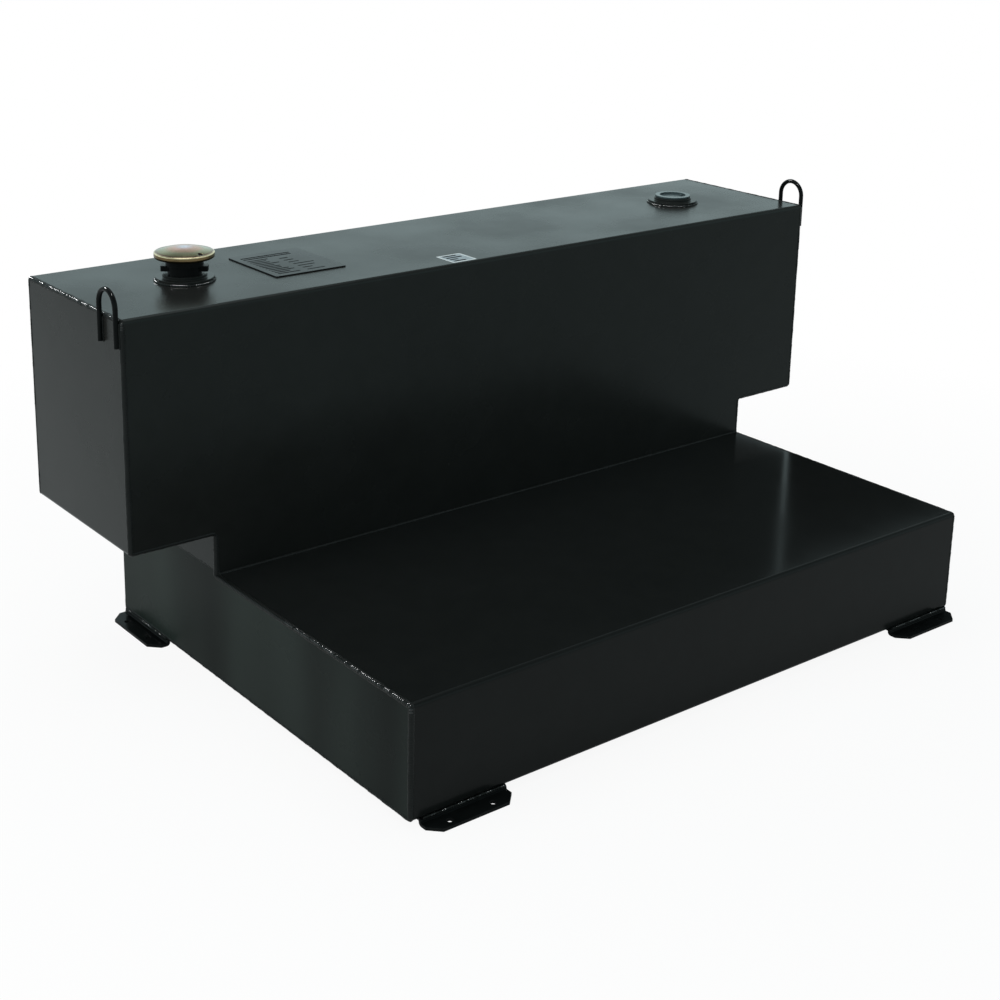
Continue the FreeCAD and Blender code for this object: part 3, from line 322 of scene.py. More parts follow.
def buildRippleBead():  # overlapping flattened beads along a path, as a welder lays them
    tree, given, out = newTree("GeometryNodeTree", "weldRippleBead", [
        ("Path", "Geometry"), ("Pitch", "Float", 0.0036), ("Half Width", "Float", 0.0045), ("Rise", "Float", 0.003),
        ("Stretch", "Float", 0.8), ("Unevenness", "Float", 0.12), ("Lump Scale", "Float", 90.0),
        ("Cutoff", "Float", 0.0), ("Seed", "Int", 1), ("Finish", "Material")],
        [("Beads", "Geometry")])
    link = tree.links.new
    toCurve = addNode(tree, "GeometryNodeMeshToCurve")
    link(given["Path"], toCurve.inputs["Mesh"])
    resample = addNode(tree, "GeometryNodeResampleCurve", mode="LENGTH")
    link(toCurve.outputs[0], resample.inputs["Curve"])
    link(given["Pitch"], resample.inputs["Length"])
    ripple = addNode(tree, "GeometryNodeMeshUVSphere")
    for label, number in (("Segments", 8), ("Rings", 5), ("Radius", 1.0)):
        ripple.inputs[label].default_value = number
    align = addNode(tree, "FunctionNodeAlignRotationToVector", axis="Z")
    link(addNode(tree, "GeometryNodeInputTangent").outputs[0], align.inputs["Vector"])
    outward = addNode(tree, "GeometryNodeInputNamedAttribute", data_type="FLOAT_VECTOR")
    outward.inputs["Name"].default_value = "outward"
    faceOut = addNode(tree, "FunctionNodeAlignRotationToVector", axis="X", pivot_axis="Z")
    link(align.outputs[0], faceOut.inputs["Rotation"])
    link(outward.outputs[0], faceOut.inputs["Vector"])
    chance = addNode(tree, "FunctionNodeRandomValue", data_type="FLOAT")
    link(given["Seed"], socketOf(chance.inputs, "Seed"))
    lump = noiseOf(tree, addNode(tree, "GeometryNodeInputPosition").outputs[0], given["Lump Scale"], 1.0)
    wobble = mathStep(tree, "ADD", mathStep(tree, "MULTIPLY", socketOf(chance.outputs, "Value_001"), 0.4),
                      mapValue(tree, lump, 0.40, 0.56, 0.0, 0.6))
    factor = mathStep(tree, "SUBTRACT", 1.0, mathStep(tree, "MULTIPLY", wobble, given["Unevenness"]))
    size = addNode(tree, "ShaderNodeCombineXYZ")
    for label, extent in (("X", "Rise"), ("Y", "Half Width")):
        link(mathStep(tree, "MULTIPLY", factor, given[extent]), size.inputs[label])
    link(mathStep(tree, "MULTIPLY", given["Pitch"], given["Stretch"]), size.inputs["Z"])
    onPoints = addNode(tree, "GeometryNodeInstanceOnPoints")
    link(resample.outputs[0], onPoints.inputs["Points"])
    link(ripple.outputs["Mesh"], onPoints.inputs["Instance"])
    link(mathStep(tree, "GREATER_THAN", lump, given["Cutoff"]), onPoints.inputs["Selection"])
    link(faceOut.outputs[0], onPoints.inputs["Rotation"])
    link(size.outputs[0], onPoints.inputs["Scale"])
    realize = addNode(tree, "GeometryNodeRealizeInstances")
    link(onPoints.outputs[0], realize.inputs[0])
    smooth = addNode(tree, "GeometryNodeSetShadeSmooth")
    link(realize.outputs[0], smooth.inputs[0])
    finish = addNode(tree, "GeometryNodeSetMaterial")
    link(smooth.outputs[0], finish.inputs[0])
    link(given["Finish"], finish.inputs["Material"])
    link(finish.outputs[0], out["Beads"])
    return tree


def buildBarRows():  # rows of plain bars with seeded lengths, filling a field
    tree, given, out = newTree("GeometryNodeTree", "plainBarRows", [
        ("Carrier", "Geometry"), ("Rows", "Int", 6), ("Row Gap", "Float", 0.018), ("Longest", "Float", 0.08),
        ("Shortest", "Float", 0.04), ("Bar Height", "Float", 0.004), ("Thickness", "Float", 0.0002),
        ("Seed", "Int", 3), ("Finish", "Material")], [("Bars", "Geometry")])
    link = tree.links.new
    rows = addNode(tree, "GeometryNodeMeshLine")
    step = addNode(tree, "ShaderNodeCombineXYZ")
    link(given["Row Gap"], step.inputs["Y"])
    link(given["Rows"], rows.inputs["Count"])
    link(step.outputs[0], rows.inputs["Offset"])
    bar = addNode(tree, "GeometryNodeMeshCube")
    shift = addNode(tree, "GeometryNodeTransform")
    shift.inputs["Translation"].default_value = (0.5, 0, 0.5)
    link(bar.outputs["Mesh"], shift.inputs[0])
    chance = addNode(tree, "FunctionNodeRandomValue", data_type="FLOAT")
    link(given["Shortest"], socketOf(chance.inputs, "Min_001"))
    link(given["Longest"], socketOf(chance.inputs, "Max_001"))
    link(given["Seed"], socketOf(chance.inputs, "Seed"))
    size = addNode(tree, "ShaderNodeCombineXYZ")
    link(socketOf(chance.outputs, "Value_001"), size.inputs["X"])
    link(given["Bar Height"], size.inputs["Y"])
    link(given["Thickness"], size.inputs["Z"])
    onPoints = addNode(tree, "GeometryNodeInstanceOnPoints")
    link(rows.outputs[0], onPoints.inputs["Points"])
    link(shift.outputs[0], onPoints.inputs["Instance"])
    link(size.outputs[0], onPoints.inputs["Scale"])
    realize = addNode(tree, "GeometryNodeRealizeInstances")
    link(onPoints.outputs[0], realize.inputs[0])
    finish = addNode(tree, "GeometryNodeSetMaterial")
    link(realize.outputs[0], finish.inputs[0])
    link(given["Finish"], finish.inputs["Material"])
    link(finish.outputs[0], out["Bars"])
    return tree


rippleBead, barRows = buildRippleBead(), buildBarRows()


def linkPiece(name, mesh):
    piece = bpy.data.objects.new(name, mesh)
    scene.collection.objects.link(piece)
    return piece


def growPiece(name, mesh, tree, values, place=None):  # runs a tree on a carrier mesh and keeps the plain result
    carrier = linkPiece(name + "Carrier", mesh)
    grow = carrier.modifiers.new("grow", "NODES")
    grow.node_group = tree
    for item in tree.interface.items_tree:
        if item.item_type == "SOCKET" and item.in_out == "INPUT" and item.name in values:
            grow[item.identifier] = values[item.name]
    bpy.context.view_layer.update()
    grown = carrier.evaluated_get(bpy.context.evaluated_depsgraph_get())
    result = bpy.data.meshes.new_from_object(grown)
    carrier.modifiers.remove(grow)
    bpy.data.objects.remove(carrier)
    if place:
        result.transform(place)
    return linkPiece(name, result)


def arcStops(centre, start, end, steps):
    ways = start.normalized(), end.normalized()
    return [centre + ways[0].slerp(ways[1], k / steps) * start.length for k in range(steps + 1)]


def roundedPath(stops, ways):  # stops are (place, radius), ways the outward way of each run between two stops
    places = [Vector(p) for p, _ in stops]
    ways = [Vector(w).normalized() for w in ways]
    path = []
    for index, (place, (_, radius)) in enumerate(zip(places, stops)):
        before, after = ways[max(index - 1, 0)], ways[min(index, len(ways) - 1)]
        if not radius:
            path += [(place, before if index else after)]
            continue
        toBefore, toAfter = (places[index - 1] - place).normalized(), (places[index + 1] - place).normalized()
        half = toBefore.angle(toAfter) / 2
        centre = place + (toBefore + toAfter).normalized() * (radius / math.sin(half))
        start = place + toBefore * (radius / math.tan(half)) - centre
        end = place + toAfter * (radius / math.tan(half)) - centre
        path += [(p, before.lerp(after, k / 6).normalized()) for k, p in enumerate(arcStops(centre, start, end, 6))]
    return path, False


def straightPath(start, end, way):
    return [(Vector(start), Vector(way).normalized()), (Vector(end), Vector(way).normalized())], False


def pathMesh(name, paths):  # paths are (stops, closed); a stop is its place and the way out of the corner
    points, ways, edges = [], [], []
    for path, closed in paths:
        first = len(points)
        points += [place for place, _ in path]
        ways += [number for _, way in path for number in way]
        edges += [(first + k, first + k + 1) for k in range(len(path) - 1)]
        if closed:
            edges.append((first + len(path) - 1, first))
    mesh = bpy.data.meshes.new(name)
    mesh.from_pydata(points, edges, [])
    mesh.attributes.new("outward", "FLOAT_VECTOR", "POINT").data.foreach_set("vector", ways)
    return mesh


def ringPath(centre, radius, height, count=72):
    path, reach = [], radius * math.sqrt(2)
    for k in range(count):
        turn = 2 * math.pi * k / count
        way = Vector((math.cos(turn), math.sin(turn), 1)).normalized()
        path.append((Vector((centre.x + reach * way.x, centre.y + reach * way.y, height)), way))
    return path, True


# shell, read from the CAD boxes
shell = {
    "front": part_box("upper_wrap")[0].y, "back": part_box("upper_wrap")[1].y, "top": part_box("upper_wrap")[1].z,
    "side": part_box("upper_seam_right")[1].x, "lowerSide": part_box("lower_seam_right")[1].x,
    "lowerFront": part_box("lower_seam_right")[0].y, "bottom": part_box("lower_seam_right")[0].z,
    "deck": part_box("lower_shell")[1].z, "overhang": 256 * mm, "bend": 7 * mm, "innerBend": 4.3 * mm,
    "sideSeam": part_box("upper_end_left")[0].z, "gleamStart": -90 * mm,
}

# corner welds
cornerWeld = {"inset": 3.2 * mm, "backInset": 5.3 * mm, "topTail": 14 * mm, "deckTail": 8 * mm, "endGap": 6 * mm,
              "Pitch": 3.8 * mm, "Half Width": 5.4 * mm, "Rise": 3.9 * mm, "Stretch": 1.1, "Unevenness": 0.16,
              "Lump Scale": 60.0}
railGleam = {**cornerWeld, "Half Width": 4.0 * mm, "Rise": 4.1 * mm, "Stretch": 0.9, "Unevenness": 0.08,
             "Lump Scale": 78.0}


def topRail(s):
    c, box = cornerWeld["inset"], shell
    x, front, back = s * (box["side"] - c), box["front"] + c, box["back"] - cornerWeld["backInset"]
    top, low, bend = box["top"] - c, box["top"] - cornerWeld["topTail"], box["bend"] - c
    return roundedPath([((x, front, low), 0), ((x, front, top), bend), ((x, back, top), bend), ((x, back, low), 0)],
                       [(s, -1, 0), (s, 0, 1), (s, 1, 0)])


def upperPosts(s):
    c, box = cornerWeld["inset"], shell
    neck, end, low = s * (box["lowerSide"] - c), s * (box["side"] - c), box["overhang"] + c
    paths = []
    for y, way in ((box["front"] + c, -1), (box["back"] - cornerWeld["backInset"], 1)):
        stops = [((neck, y, box["deck"] - 1 * mm), 0), ((neck, y, low), box["innerBend"] + c),
                 ((end, y, low), box["bend"] - c), ((end, y, box["top"] - cornerWeld["topTail"]), 0)]
        paths.append(roundedPath(stops, [(s, way, 0), (0, way, -1), (s, way, 0)]))
    return paths


def deckRail(s, start):
    c, box = cornerWeld["inset"], shell
    x, front, deck = s * (box["lowerSide"] - c), box["lowerFront"] + c, box["deck"] - c
    return roundedPath([((x, start, deck), 0), ((x, front, deck), box["bend"] - c),
                        ((x, front, deck - cornerWeld["deckTail"]), 0)], [(s, 0, 1), (s, -1, 0)])


def lowerPosts(s):
    c, box = cornerWeld["inset"], shell
    x, front, back = s * (box["lowerSide"] - c), box["lowerFront"] + c, box["back"] - cornerWeld["backInset"]
    low, high = box["bottom"] + c, box["deck"] - c - cornerWeld["deckTail"]
    return [roundedPath([((x, front, high), 0), ((x, front, low), box["bend"] - c), ((x, back, low), 0),
                         ((x, back, box["deck"]), 0)], [(s, -1, 0), (s, 0, -1), (s, 1, 0)])]


def addWeldPiece(name, paths, values, seed, nodes, finish=beadPaint):
    given = {**values, "Seed": seed, "Finish": finish}
    piece = growPiece(name, pathMesh(name, paths), rippleBead, given)
    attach(piece, "tank")
    if nodes:
        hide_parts(*nodes)
    return piece


gleamingWelds = []  # glossy runs over the duller beads, which the two small lamps pick out
for seed, (word, s) in enumerate((("left", -1), ("right", 1)), start=1):
    addWeldPiece(f"upperSeam_{word}", upperPosts(s) + [topRail(s)], cornerWeld, seed,
                 [f"upper_seam_{word}"], dullBeadPaint)
    addWeldPiece(f"lowerSeam_{word}", lowerPosts(s) + [deckRail(s, shell["front"])], cornerWeld, seed + 10,
                 [f"lower_seam_{word}"], dullBeadPaint)
    for place, run, cutoff in (("top", topRail(s), 0.43), ("deck", deckRail(s, shell["gleamStart"]), 0.37)):
        given = {**railGleam, "Cutoff": cutoff}
        gleamingWelds.append(addWeldPiece(f"{place}Gloss_{word}", [run], given, seed + 20, []))

reach = shell["lowerSide"] - cornerWeld["endGap"]
rearY, rearZ = shell["back"] - cornerWeld["backInset"], shell["bottom"] + cornerWeld["inset"]
rearRun = straightPath((-reach, rearY, rearZ), (reach, rearY, rearZ), (0, 1, -1))
addWeldPiece("rearBottomSeam", [rearRun], cornerWeld, 21, ["rear_bottom_seam"])

# fillet welds: deck to upper front, side seams, flanges, feet and hoops
filletWeld = {"deckLift": 1.0 * mm, "ringLift": 1.2 * mm, "Pitch": 4.0 * mm, "Half Width": 3.2 * mm,
              "Rise": 2.0 * mm, "Stretch": 0.75, "Unevenness": 0.35, "Lump Scale": 100.0}
flangeGleam = {**filletWeld, "Half Width": 2.4 * mm, "Rise": 2.2 * mm, "Unevenness": 0.05, "Lump Scale": 60.0,
               "Cutoff": 0.5}
deckY, deckZ = shell["front"] - filletWeld["deckLift"], shell["deck"] + filletWeld["deckLift"]
deckRun = straightPath((-reach, deckY, deckZ), (reach, deckY, deckZ), (0, -1, 1))
addWeldPiece("deckSeam", [deckRun], filletWeld, 22, ["deck_seam"], dullBeadPaint)
flangeWelds = {"fillerFlangeWeld": "filler_flange", "portFlangeWeld": "port_flange"}
for seed, (name, node) in enumerate(flangeWelds.items(), start=30):
    low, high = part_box(node)
    lift = filletWeld["ringLift"]
    ring = ringPath((low + high) / 2, (high.x - low.x) / 2 + lift, low.z + lift)
    addWeldPiece(name, [ring], filletWeld, seed, [node + "_weld"], dullBeadPaint)
    gleamingWelds.append(addWeldPiece(name + "Gloss", [ring], flangeGleam, seed, []))

smallWeld = {"Pitch": 3.6 * mm, "Half Width": 3.0 * mm, "Rise": 1.8 * mm, "Stretch": 0.75, "Unevenness": 0.4,
             "Lump Scale": 110.0}
sideSeam = {"endGap": 7 * mm, "sunk": 1 * mm}
footWeld = {"endGap": 6 * mm, "sunk": 0.5 * mm}
hoopWeld = {"proud": 0.8 * mm, "beside": 3.6 * mm, "footGap": 1 * mm, "topGap": 8 * mm}


def sideSeamPaths():
    near, far = shell["front"] + sideSeam["endGap"], shell["back"] - sideSeam["endGap"]
    x, z = shell["lowerSide"] - sideSeam["sunk"], shell["sideSeam"]
    return [straightPath((s * x, near, z), (s * x, far, z), (s, 0, 0)) for s in (-1, 1)]


def footWeldPaths():
    paths, z, gap = [], shell["bottom"], footWeld["endGap"]
    for side in ("front_left", "front_right"):
        low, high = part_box("foot_" + side)
        y = shell["lowerFront"] + footWeld["sunk"]
        paths.append(straightPath((low.x + gap, y, z), (high.x - gap, y, z), (0, -1, 0)))
    for side, s in (("back_left", -1), ("back_right", 1)):
        low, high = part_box("foot_" + side)
        x = s * (shell["lowerSide"] - footWeld["sunk"])
        paths.append(straightPath((x, low.y + gap, z), (x, high.y - gap, z), (s, 0, 0)))
    return paths


def hoopWeldPaths():
    paths = []
    for side, s in (("left", -1), ("right", 1)):
        low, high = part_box("lifting_eye_" + side)
        rod = high.x - low.x
        x = s * (shell["side"] + hoopWeld["proud"])
        foot, top = low.z + hoopWeld["footGap"], shell["top"] - hoopWeld["topGap"]
        for leg in (low.y + rod / 2, high.y - rod / 2):
            for way in (-1, 1):
                y = leg + way * hoopWeld["beside"]
                paths.append(straightPath((x, y, foot), (x, y, top), (s, way, 0)))
    return paths


addWeldPiece("sideSeams", sideSeamPaths(), smallWeld, 41, [], dullBeadPaint)
addWeldPiece("footWelds", footWeldPaths(), smallWeld, 42, [], dullBeadPaint)
footGleam = {**flangeGleam, "Half Width": 2.6 * mm, "Rise": 2.1 * mm}
gleamingWelds.append(addWeldPiece("footWeldsGloss", footWeldPaths(), footGleam, 45, []))
addWeldPiece("hoopWelds", hoopWeldPaths(), {**smallWeld, "Half Width": 2.4 * mm}, 43, [], dullBeadPaint)
print("welds laid")


# turned and cast fittings

def roundedProfile(corners, steps):  # corners are (radius, height) or (radius, height, rounding)
    places = [Vector((c[0], c[1])) for c in corners]
    profile = []
    for index, corner in enumerate(corners):
        rounding = corner[2] if len(corner) > 2 else 0
        if not rounding or index in (0, len(corners) - 1):
            profile.append(places[index])
            continue
        toBefore = (places[index - 1] - places[index]).normalized()
        toAfter = (places[index + 1] - places[index]).normalized()
        half = toBefore.angle(toAfter) / 2
        reachAlong = rounding / math.tan(half)
        centre = places[index] + (toBefore + toAfter).normalized() * (rounding / math.sin(half))
        start, end = (places[index] + way * reachAlong - centre for way in (toBefore, toAfter))
        profile += arcStops(centre, start, end, steps)
    return profile


def latheMesh(name, profile, segments):
    work = bmesh.new()
    rings = []
    for spot in profile:
        if spot.x < 1e-6:
            rings.append([work.verts.new((0, 0, spot.y))])
            continue
        turns = [2 * math.pi * k / segments for k in range(segments)]
        rings.append([work.verts.new((spot.x * math.cos(t), spot.x * math.sin(t), spot.y)) for t in turns])
    for lower, upper in zip(rings, rings[1:]):
        for k in range(segments):
            after = (k + 1) % segments
            corners = [lower[k % len(lower)], lower[after % len(lower)],
                       upper[after % len(upper)], upper[k % len(upper)]]
            corners = list(dict.fromkeys(corners))
            if len(corners) > 2:
                work.faces.new(corners)
    bmesh.ops.recalc_face_normals(work, faces=work.faces)
    mesh = bpy.data.meshes.new(name)
    work.to_mesh(mesh)
    work.free()
    mesh.polygons.foreach_set("use_smooth", [True] * len(mesh.polygons))
    return mesh


capShell = {"rim": 4 * mm, "sheet": 1 * mm, "dome": 7 * mm, "curl": 5 * mm, "dimpleRadius": 40 * mm,
            "dimpleTurn": math.radians(-80), "dimpleLength": 8 * mm, "dimpleWidth": 5 * mm, "dimpleDepth": 1.4 * mm,
            "dimpleRim": 1.3, "dimpleSlope": 0.45, "domeSteps": 34, "innerStops": (32 * mm, 20 * mm, 10 * mm, 0),
            "segments": 160}
capPlatingAndPaintedLight = {"level": 0.5, "drift": 0.10, "driftScale": 45.0, "mottle": 0.3, "mottleScale": 160.0,
              "rough": (0.14, 0.26), "sheenScale": 40.0, "stain": (0.20, 0.20, 0.12, 1),
              # ring stops: 0 is a painted pale reflection, 0.92 a painted dark reflection band, 0.985 a painted
              # highlight on the rim; the stops between are the plating's interference colour
              "rings": [(0.0, (0.74, 0.68, 0.80)), (0.16, (0.66, 0.50, 0.56)), (0.32, (0.60, 0.31, 0.25)),
                        (0.52, (0.52, 0.29, 0.20)), (0.68, (0.36, 0.32, 0.20)), (0.84, (0.27, 0.24, 0.13)),
                        (0.92, (0.15, 0.05, 0.03)), (0.985, (0.95, 0.78, 0.50))],
              # painted shade on the skirt: the band's depth below the crown and its darker colour
              "skirtShadeDrop": (1.8 * mm, 2.6 * mm), "skirtShadeColour": (0.20, 0.14, 0.07, 1),
              # painted shade in the vent dimple: its reach and near-black colour
              "dimpleShadeReach": (4.8 * mm, 4.0 * mm), "dimpleShadeColour": (0.01, 0.007, 0.006, 1),
              "relief": {"Peel_Scale": 700.0, "Peel_Depth": 0.00002, "Sheet_Scale": 60.0, "Sheet_Depth": 0.0001}}


def capProfile(low, high, rim):  # half section, outside from the crown to the curl and back inside
    look = capShell
    sheet, skin = look["sheet"], look["rim"]
    shoulder, crownLow = rim - skin, high.z - look["dome"]
    ball = (shoulder ** 2 + look["dome"] ** 2) / (2 * look["dome"])

    def domeStop(r, drop=0.0):
        return Vector((r, high.z - drop - (ball - math.sqrt(ball ** 2 - r ** 2))))

    outer = [domeStop(shoulder * k / look["domeSteps"]) for k in range(look["domeSteps"])]
    outer += roundedProfile([
        (shoulder - 1 * mm, crownLow + 0.3 * mm), (rim - 0.3 * mm, crownLow - 0.8 * mm, 1.5 * mm),
        (rim, low.z + skin, 1 * mm), (rim - 0.2 * mm, low.z, 3.4 * mm), (shoulder - look["curl"], low.z)], 7)
    inner = [(shoulder - look["curl"], low.z + sheet), (shoulder, low.z + sheet), (rim - sheet, low.z + skin),
             (rim - sheet, crownLow - skin), (shoulder, crownLow - sheet)]
    return outer + [Vector(stop) for stop in inner] + [domeStop(r, sheet) for r in look["innerStops"]]


def pressDimple(mesh, across, lowest):  # vent dimple stamped into the dome
    look = capShell
    for vertex in mesh.vertices:
        spot = vertex.co.xy
        along = (spot.dot(across) - look["dimpleRadius"]) / (look["dimpleWidth"] / 2)
        beside = spot.cross(across) / (look["dimpleLength"] / 2)
        inside = look["dimpleRim"] - math.hypot(along, beside)
        if inside > 0 and vertex.co.z > lowest:
            vertex.co.z -= look["dimpleDepth"] * min(1.0, inside / look["dimpleSlope"])


def makeCapShell():  # domed pressing with a full round rim
    low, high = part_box("cap_shell")
    centre, rim, dome = (low + high) / 2, (high.x - low.x) / 2, capShell["dome"]
    mesh = latheMesh("fillerCapShell", capProfile(low, high, rim), capShell["segments"])
    across = Vector((math.cos(capShell["dimpleTurn"]), math.sin(capShell["dimpleTurn"])))
    pressDimple(mesh, across, high.z - dome)
    mesh.transform(Matrix.Translation((centre.x, centre.y, 0)))
    piece = linkPiece("fillerCapShell", mesh)
    finish = makeCapPlatingAndPaintedLight("iridescentCapPlatingAndPaintedLight", Vector((centre.x, centre.y, high.z)), {
        **capPlatingAndPaintedLight, "radius": rim, "skirtShadeBand": [-dome - drop for drop in capPlatingAndPaintedLight["skirtShadeDrop"]],
        "vent": Vector((across.x, across.y, 0)) * capShell["dimpleRadius"]})
    mesh.materials.append(finish)
    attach(piece, "cap")
    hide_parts("cap_shell")
    return finish


capFinish = makeCapShell()


softened = {  # nodes that keep their own form, with their edges broken
    "filler_neck": {"name": "fillerNeck", "edge": 0.9 * mm, "finish": neckPaint, "slot": "neck_paint"},
    "filler_flange": {"name": "fillerFlange", "edge": 0.9 * mm, "finish": shellPaint, "slot": "shell_paint"},
    "port_flange": {"name": "portFlange", "edge": 0.9 * mm, "finish": shellPaint, "slot": "shell_paint"},
    "port_plug": {"name": "portPlug", "edge": 0.7 * mm, "finish": plugPaint, "slot": "plug_finish", "body": "plug"},
    "data_plate": {"name": "dataPlate", "edge": 0.4 * mm, "finish": plateFilm, "slot": "plate_film"},
}
for word in ("front_left", "front_right", "back_left", "back_right"):
    softened["foot_" + word] = {"name": f"foot_{word}_soft", "edge": 0.5 * mm, "finish": footPaint,
                                "slot": "shell_paint", "segments": 2}
sharpEdge, flatSeam = math.radians(28), math.radians(2)


def softenedCopy(node, look):
    mesh = frame["nodes"][node].data.copy()
    mesh.materials.clear()
    work = bmesh.new()
    work.from_mesh(mesh)
    bmesh.ops.remove_doubles(work, verts=work.verts, dist=1e-6)
    bmesh.ops.dissolve_limit(work, angle_limit=flatSeam, verts=work.verts, edges=work.edges)
    work.to_mesh(mesh)
    work.free()
    mesh.materials.append(look["finish"])
    mesh.polygons.foreach_set("use_smooth", [True] * len(mesh.polygons))
    carrier = linkPiece(look["name"] + "Carrier", mesh)
    soften = carrier.modifiers.new("brokenEdges", "BEVEL")
    soften.width, soften.segments = look["edge"], look.get("segments", 3)
    soften.limit_method, soften.angle_limit = "ANGLE", sharpEdge
    shade = carrier.modifiers.new("evenShade", "WEIGHTED_NORMAL")  # keeps the flats flat beside their bevels
    shade.mode, shade.weight = "FACE_AREA", 100
    bpy.context.view_layer.update()
    result = bpy.data.meshes.new_from_object(carrier.evaluated_get(bpy.context.evaluated_depsgraph_get()))
    bpy.data.objects.remove(carrier)
    result.name = look["name"]
    piece = linkPiece(look["name"], result)
    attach(piece, look.get("body", "tank"))
    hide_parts(node)


for node, look in softened.items():
    softenedCopy(node, look)
print("fittings made")


# plate bars and blank label
plateLow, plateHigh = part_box("data_plate")
plateBars = {
    "plateBarsLeft": {"at": (12, 14), "Rows": 11, "Seed": 12, "Row Gap": 9.6, "Longest": 46, "Shortest": 26,
                      "Bar Height": 3.4},
    "plateBarsRight": {"at": (68, 14), "Rows": 7, "Seed": 13, "Row Gap": 14.4, "Longest": 40, "Shortest": 14,
                       "Bar Height": 3.0},
    "plateBarsHead": {"at": (12, 122), "Rows": 2, "Seed": 14, "Row Gap": 9.0, "Longest": 96, "Shortest": 60,
                      "Bar Height": 4.0}}


def addBars(name, values, corner):  # plain bars where the plate and the label carry their text
    lengths = {key: values[key] * mm for key in ("Row Gap", "Longest", "Shortest", "Bar Height")}
    given = {**values, **lengths, "Thickness": 0.12 * mm, "Finish": barInk}
    place = Matrix.Translation(corner + Vector((values["at"][0], values["at"][1], 0)) * mm)
    piece = growPiece(name, bpy.data.meshes.new(name), barRows, given, place)
    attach(piece, "tank")


for name, values in plateBars.items():
    addBars(name, values, Vector((plateLow.x, plateLow.y, plateHigh.z)))

label = {"low": (-118 * mm, 1.5 * mm), "high": (-68 * mm, 58 * mm), "border": 4 * mm, "paperCorner": 3 * mm,
         "paper": (-0.05 * mm, 0.12 * mm), "fieldCorner": 1 * mm, "field": (0.1 * mm, 0.2 * mm),
         "barHeight": 0.18 * mm}


def roundedTile(name, low, high, corner, rise, finish):  # rise is the bottom and the top over the sheet
    bottom, top = (shell["top"] + height for height in rise)
    work = bmesh.new()
    ring = []
    for x, y, start in ((high.x, high.y, 0), (low.x, high.y, 90), (low.x, low.y, 180), (high.x, low.y, 270)):
        cx = x - math.copysign(corner, x - (low.x + high.x) / 2)
        cy = y - math.copysign(corner, y - (low.y + high.y) / 2)
        for k in range(7):
            t = math.radians(start + 15 * k)
            ring.append((cx + corner * math.cos(t), cy + corner * math.sin(t)))
    lower = [work.verts.new((x, y, bottom)) for x, y in ring]
    upper = [work.verts.new((x, y, top)) for x, y in ring]
    work.faces.new(upper)
    work.faces.new(list(reversed(lower)))
    for k in range(len(ring)):
        after = (k + 1) % len(ring)
        work.faces.new((lower[k], lower[after], upper[after], upper[k]))
    mesh = bpy.data.meshes.new(name)
    work.to_mesh(mesh)
    work.free()
    mesh.materials.append(finish)
    piece = linkPiece(name, mesh)
    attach(piece, "tank")


labelLow = Vector((label["low"][0], shell["front"] + label["low"][1] + shell["bend"]))
labelHigh = Vector((label["high"][0], shell["front"] + label["high"][1]))
edge = Vector((label["border"], label["border"]))
roundedTile("blankLabel", labelLow, labelHigh, label["paperCorner"], label["paper"], labelPaper)
roundedTile("labelField", labelLow + edge, labelHigh - edge, label["fieldCorner"], label["field"], labelField)
labelBars = {"at": (8, 8), "Rows": 4, "Seed": 9, "Row Gap": 11.0, "Longest": 32, "Shortest": 16, "Bar Height": 5.0}
addBars("labelBars", labelBars, Vector((labelLow.x, labelLow.y, shell["top"] + label["barHeight"])))
print("plate and label made")

# finishes of the nodes that stay, by their slot
nodeFinish = {"shell_paint": shellPaint, "bare_steel": bareSteel, "cap_plating": capFinish, "neck_paint": neckPaint,
              "plug_finish": plugPaint, "seal_rubber": sealRubber, "plate_film": plateFilm}
for part in frame["record"]["subparts"]:
    node = frame["nodes"][part["node"]]
    node.data.materials.clear()
    node.data.materials.append(nodeFinish[part["material_slot"]])
# painted shade: the lower shell and the lower ends take darker copies of the shell paint
for name, finish in (("lower_shell", shadedDeckPaint), ("lower_end_left", shadedLowEndPaint), ("lower_end_right", shadedLowEndPaint),
                     ("lifting_eye_left", glossPaint), ("lifting_eye_right", glossPaint)):
    frame["nodes"][name].data.materials[0] = finish

studioFloor = {"size": 60.0, "tone": 0.86, "glow": 0.92, "glossyGlow": 0.3, "fade": (0.7, 1.9)}


def makeFloor():
    mesh = bpy.data.meshes.new("studioFloor")
    half = studioFloor["size"] / 2
    mesh.from_pydata([(-half, -half, 0), (half, -half, 0), (half, half, 0), (-half, half, 0)], [], [(0, 1, 2, 3)])
    floor = linkPiece("studioFloor", mesh)
    material, tree, shader, vector = newMaterial("paleStudioFloor", 0.0)
    tone = studioFloor["tone"]
    shader.inputs["Base Color"].default_value = (tone, tone, tone, 1)
    shader.inputs["Roughness"].default_value = 0.9
    mesh.materials.append(material)
    distance = addNode(tree, "ShaderNodeVectorMath", operation="LENGTH")
    tree.links.new(vector, distance.inputs[0])
    fade = mapValue(tree, distance.outputs["Value"], *studioFloor["fade"], studioFloor["glow"], 1.0)
    paths = addNode(tree, "ShaderNodeLightPath")
    glossy = mathStep(tree, "MULTIPLY", paths.outputs["Is Glossy Ray"], studioFloor["glossyGlow"])
    seen = mathStep(tree, "MAXIMUM", paths.outputs["Is Camera Ray"], glossy)
    glow = addNode(tree, "ShaderNodeEmission")
    mixed = addNode(tree, "ShaderNodeMixShader")
    tree.links.new(mathStep(tree, "MULTIPLY", fade, seen), mixed.inputs[0])
    tree.links.new(shader.outputs[0], mixed.inputs[1])
    tree.links.new(glow.outputs[0], mixed.inputs[2])
    tree.links.new(mixed.outputs[0], tree.nodes["Material Output"].inputs["Surface"])


studioSky = {"light": 0.42, "tint": (0.78, 0.98, 1.0, 1), "fade": (0.40, 0.70), "high": 0.3}


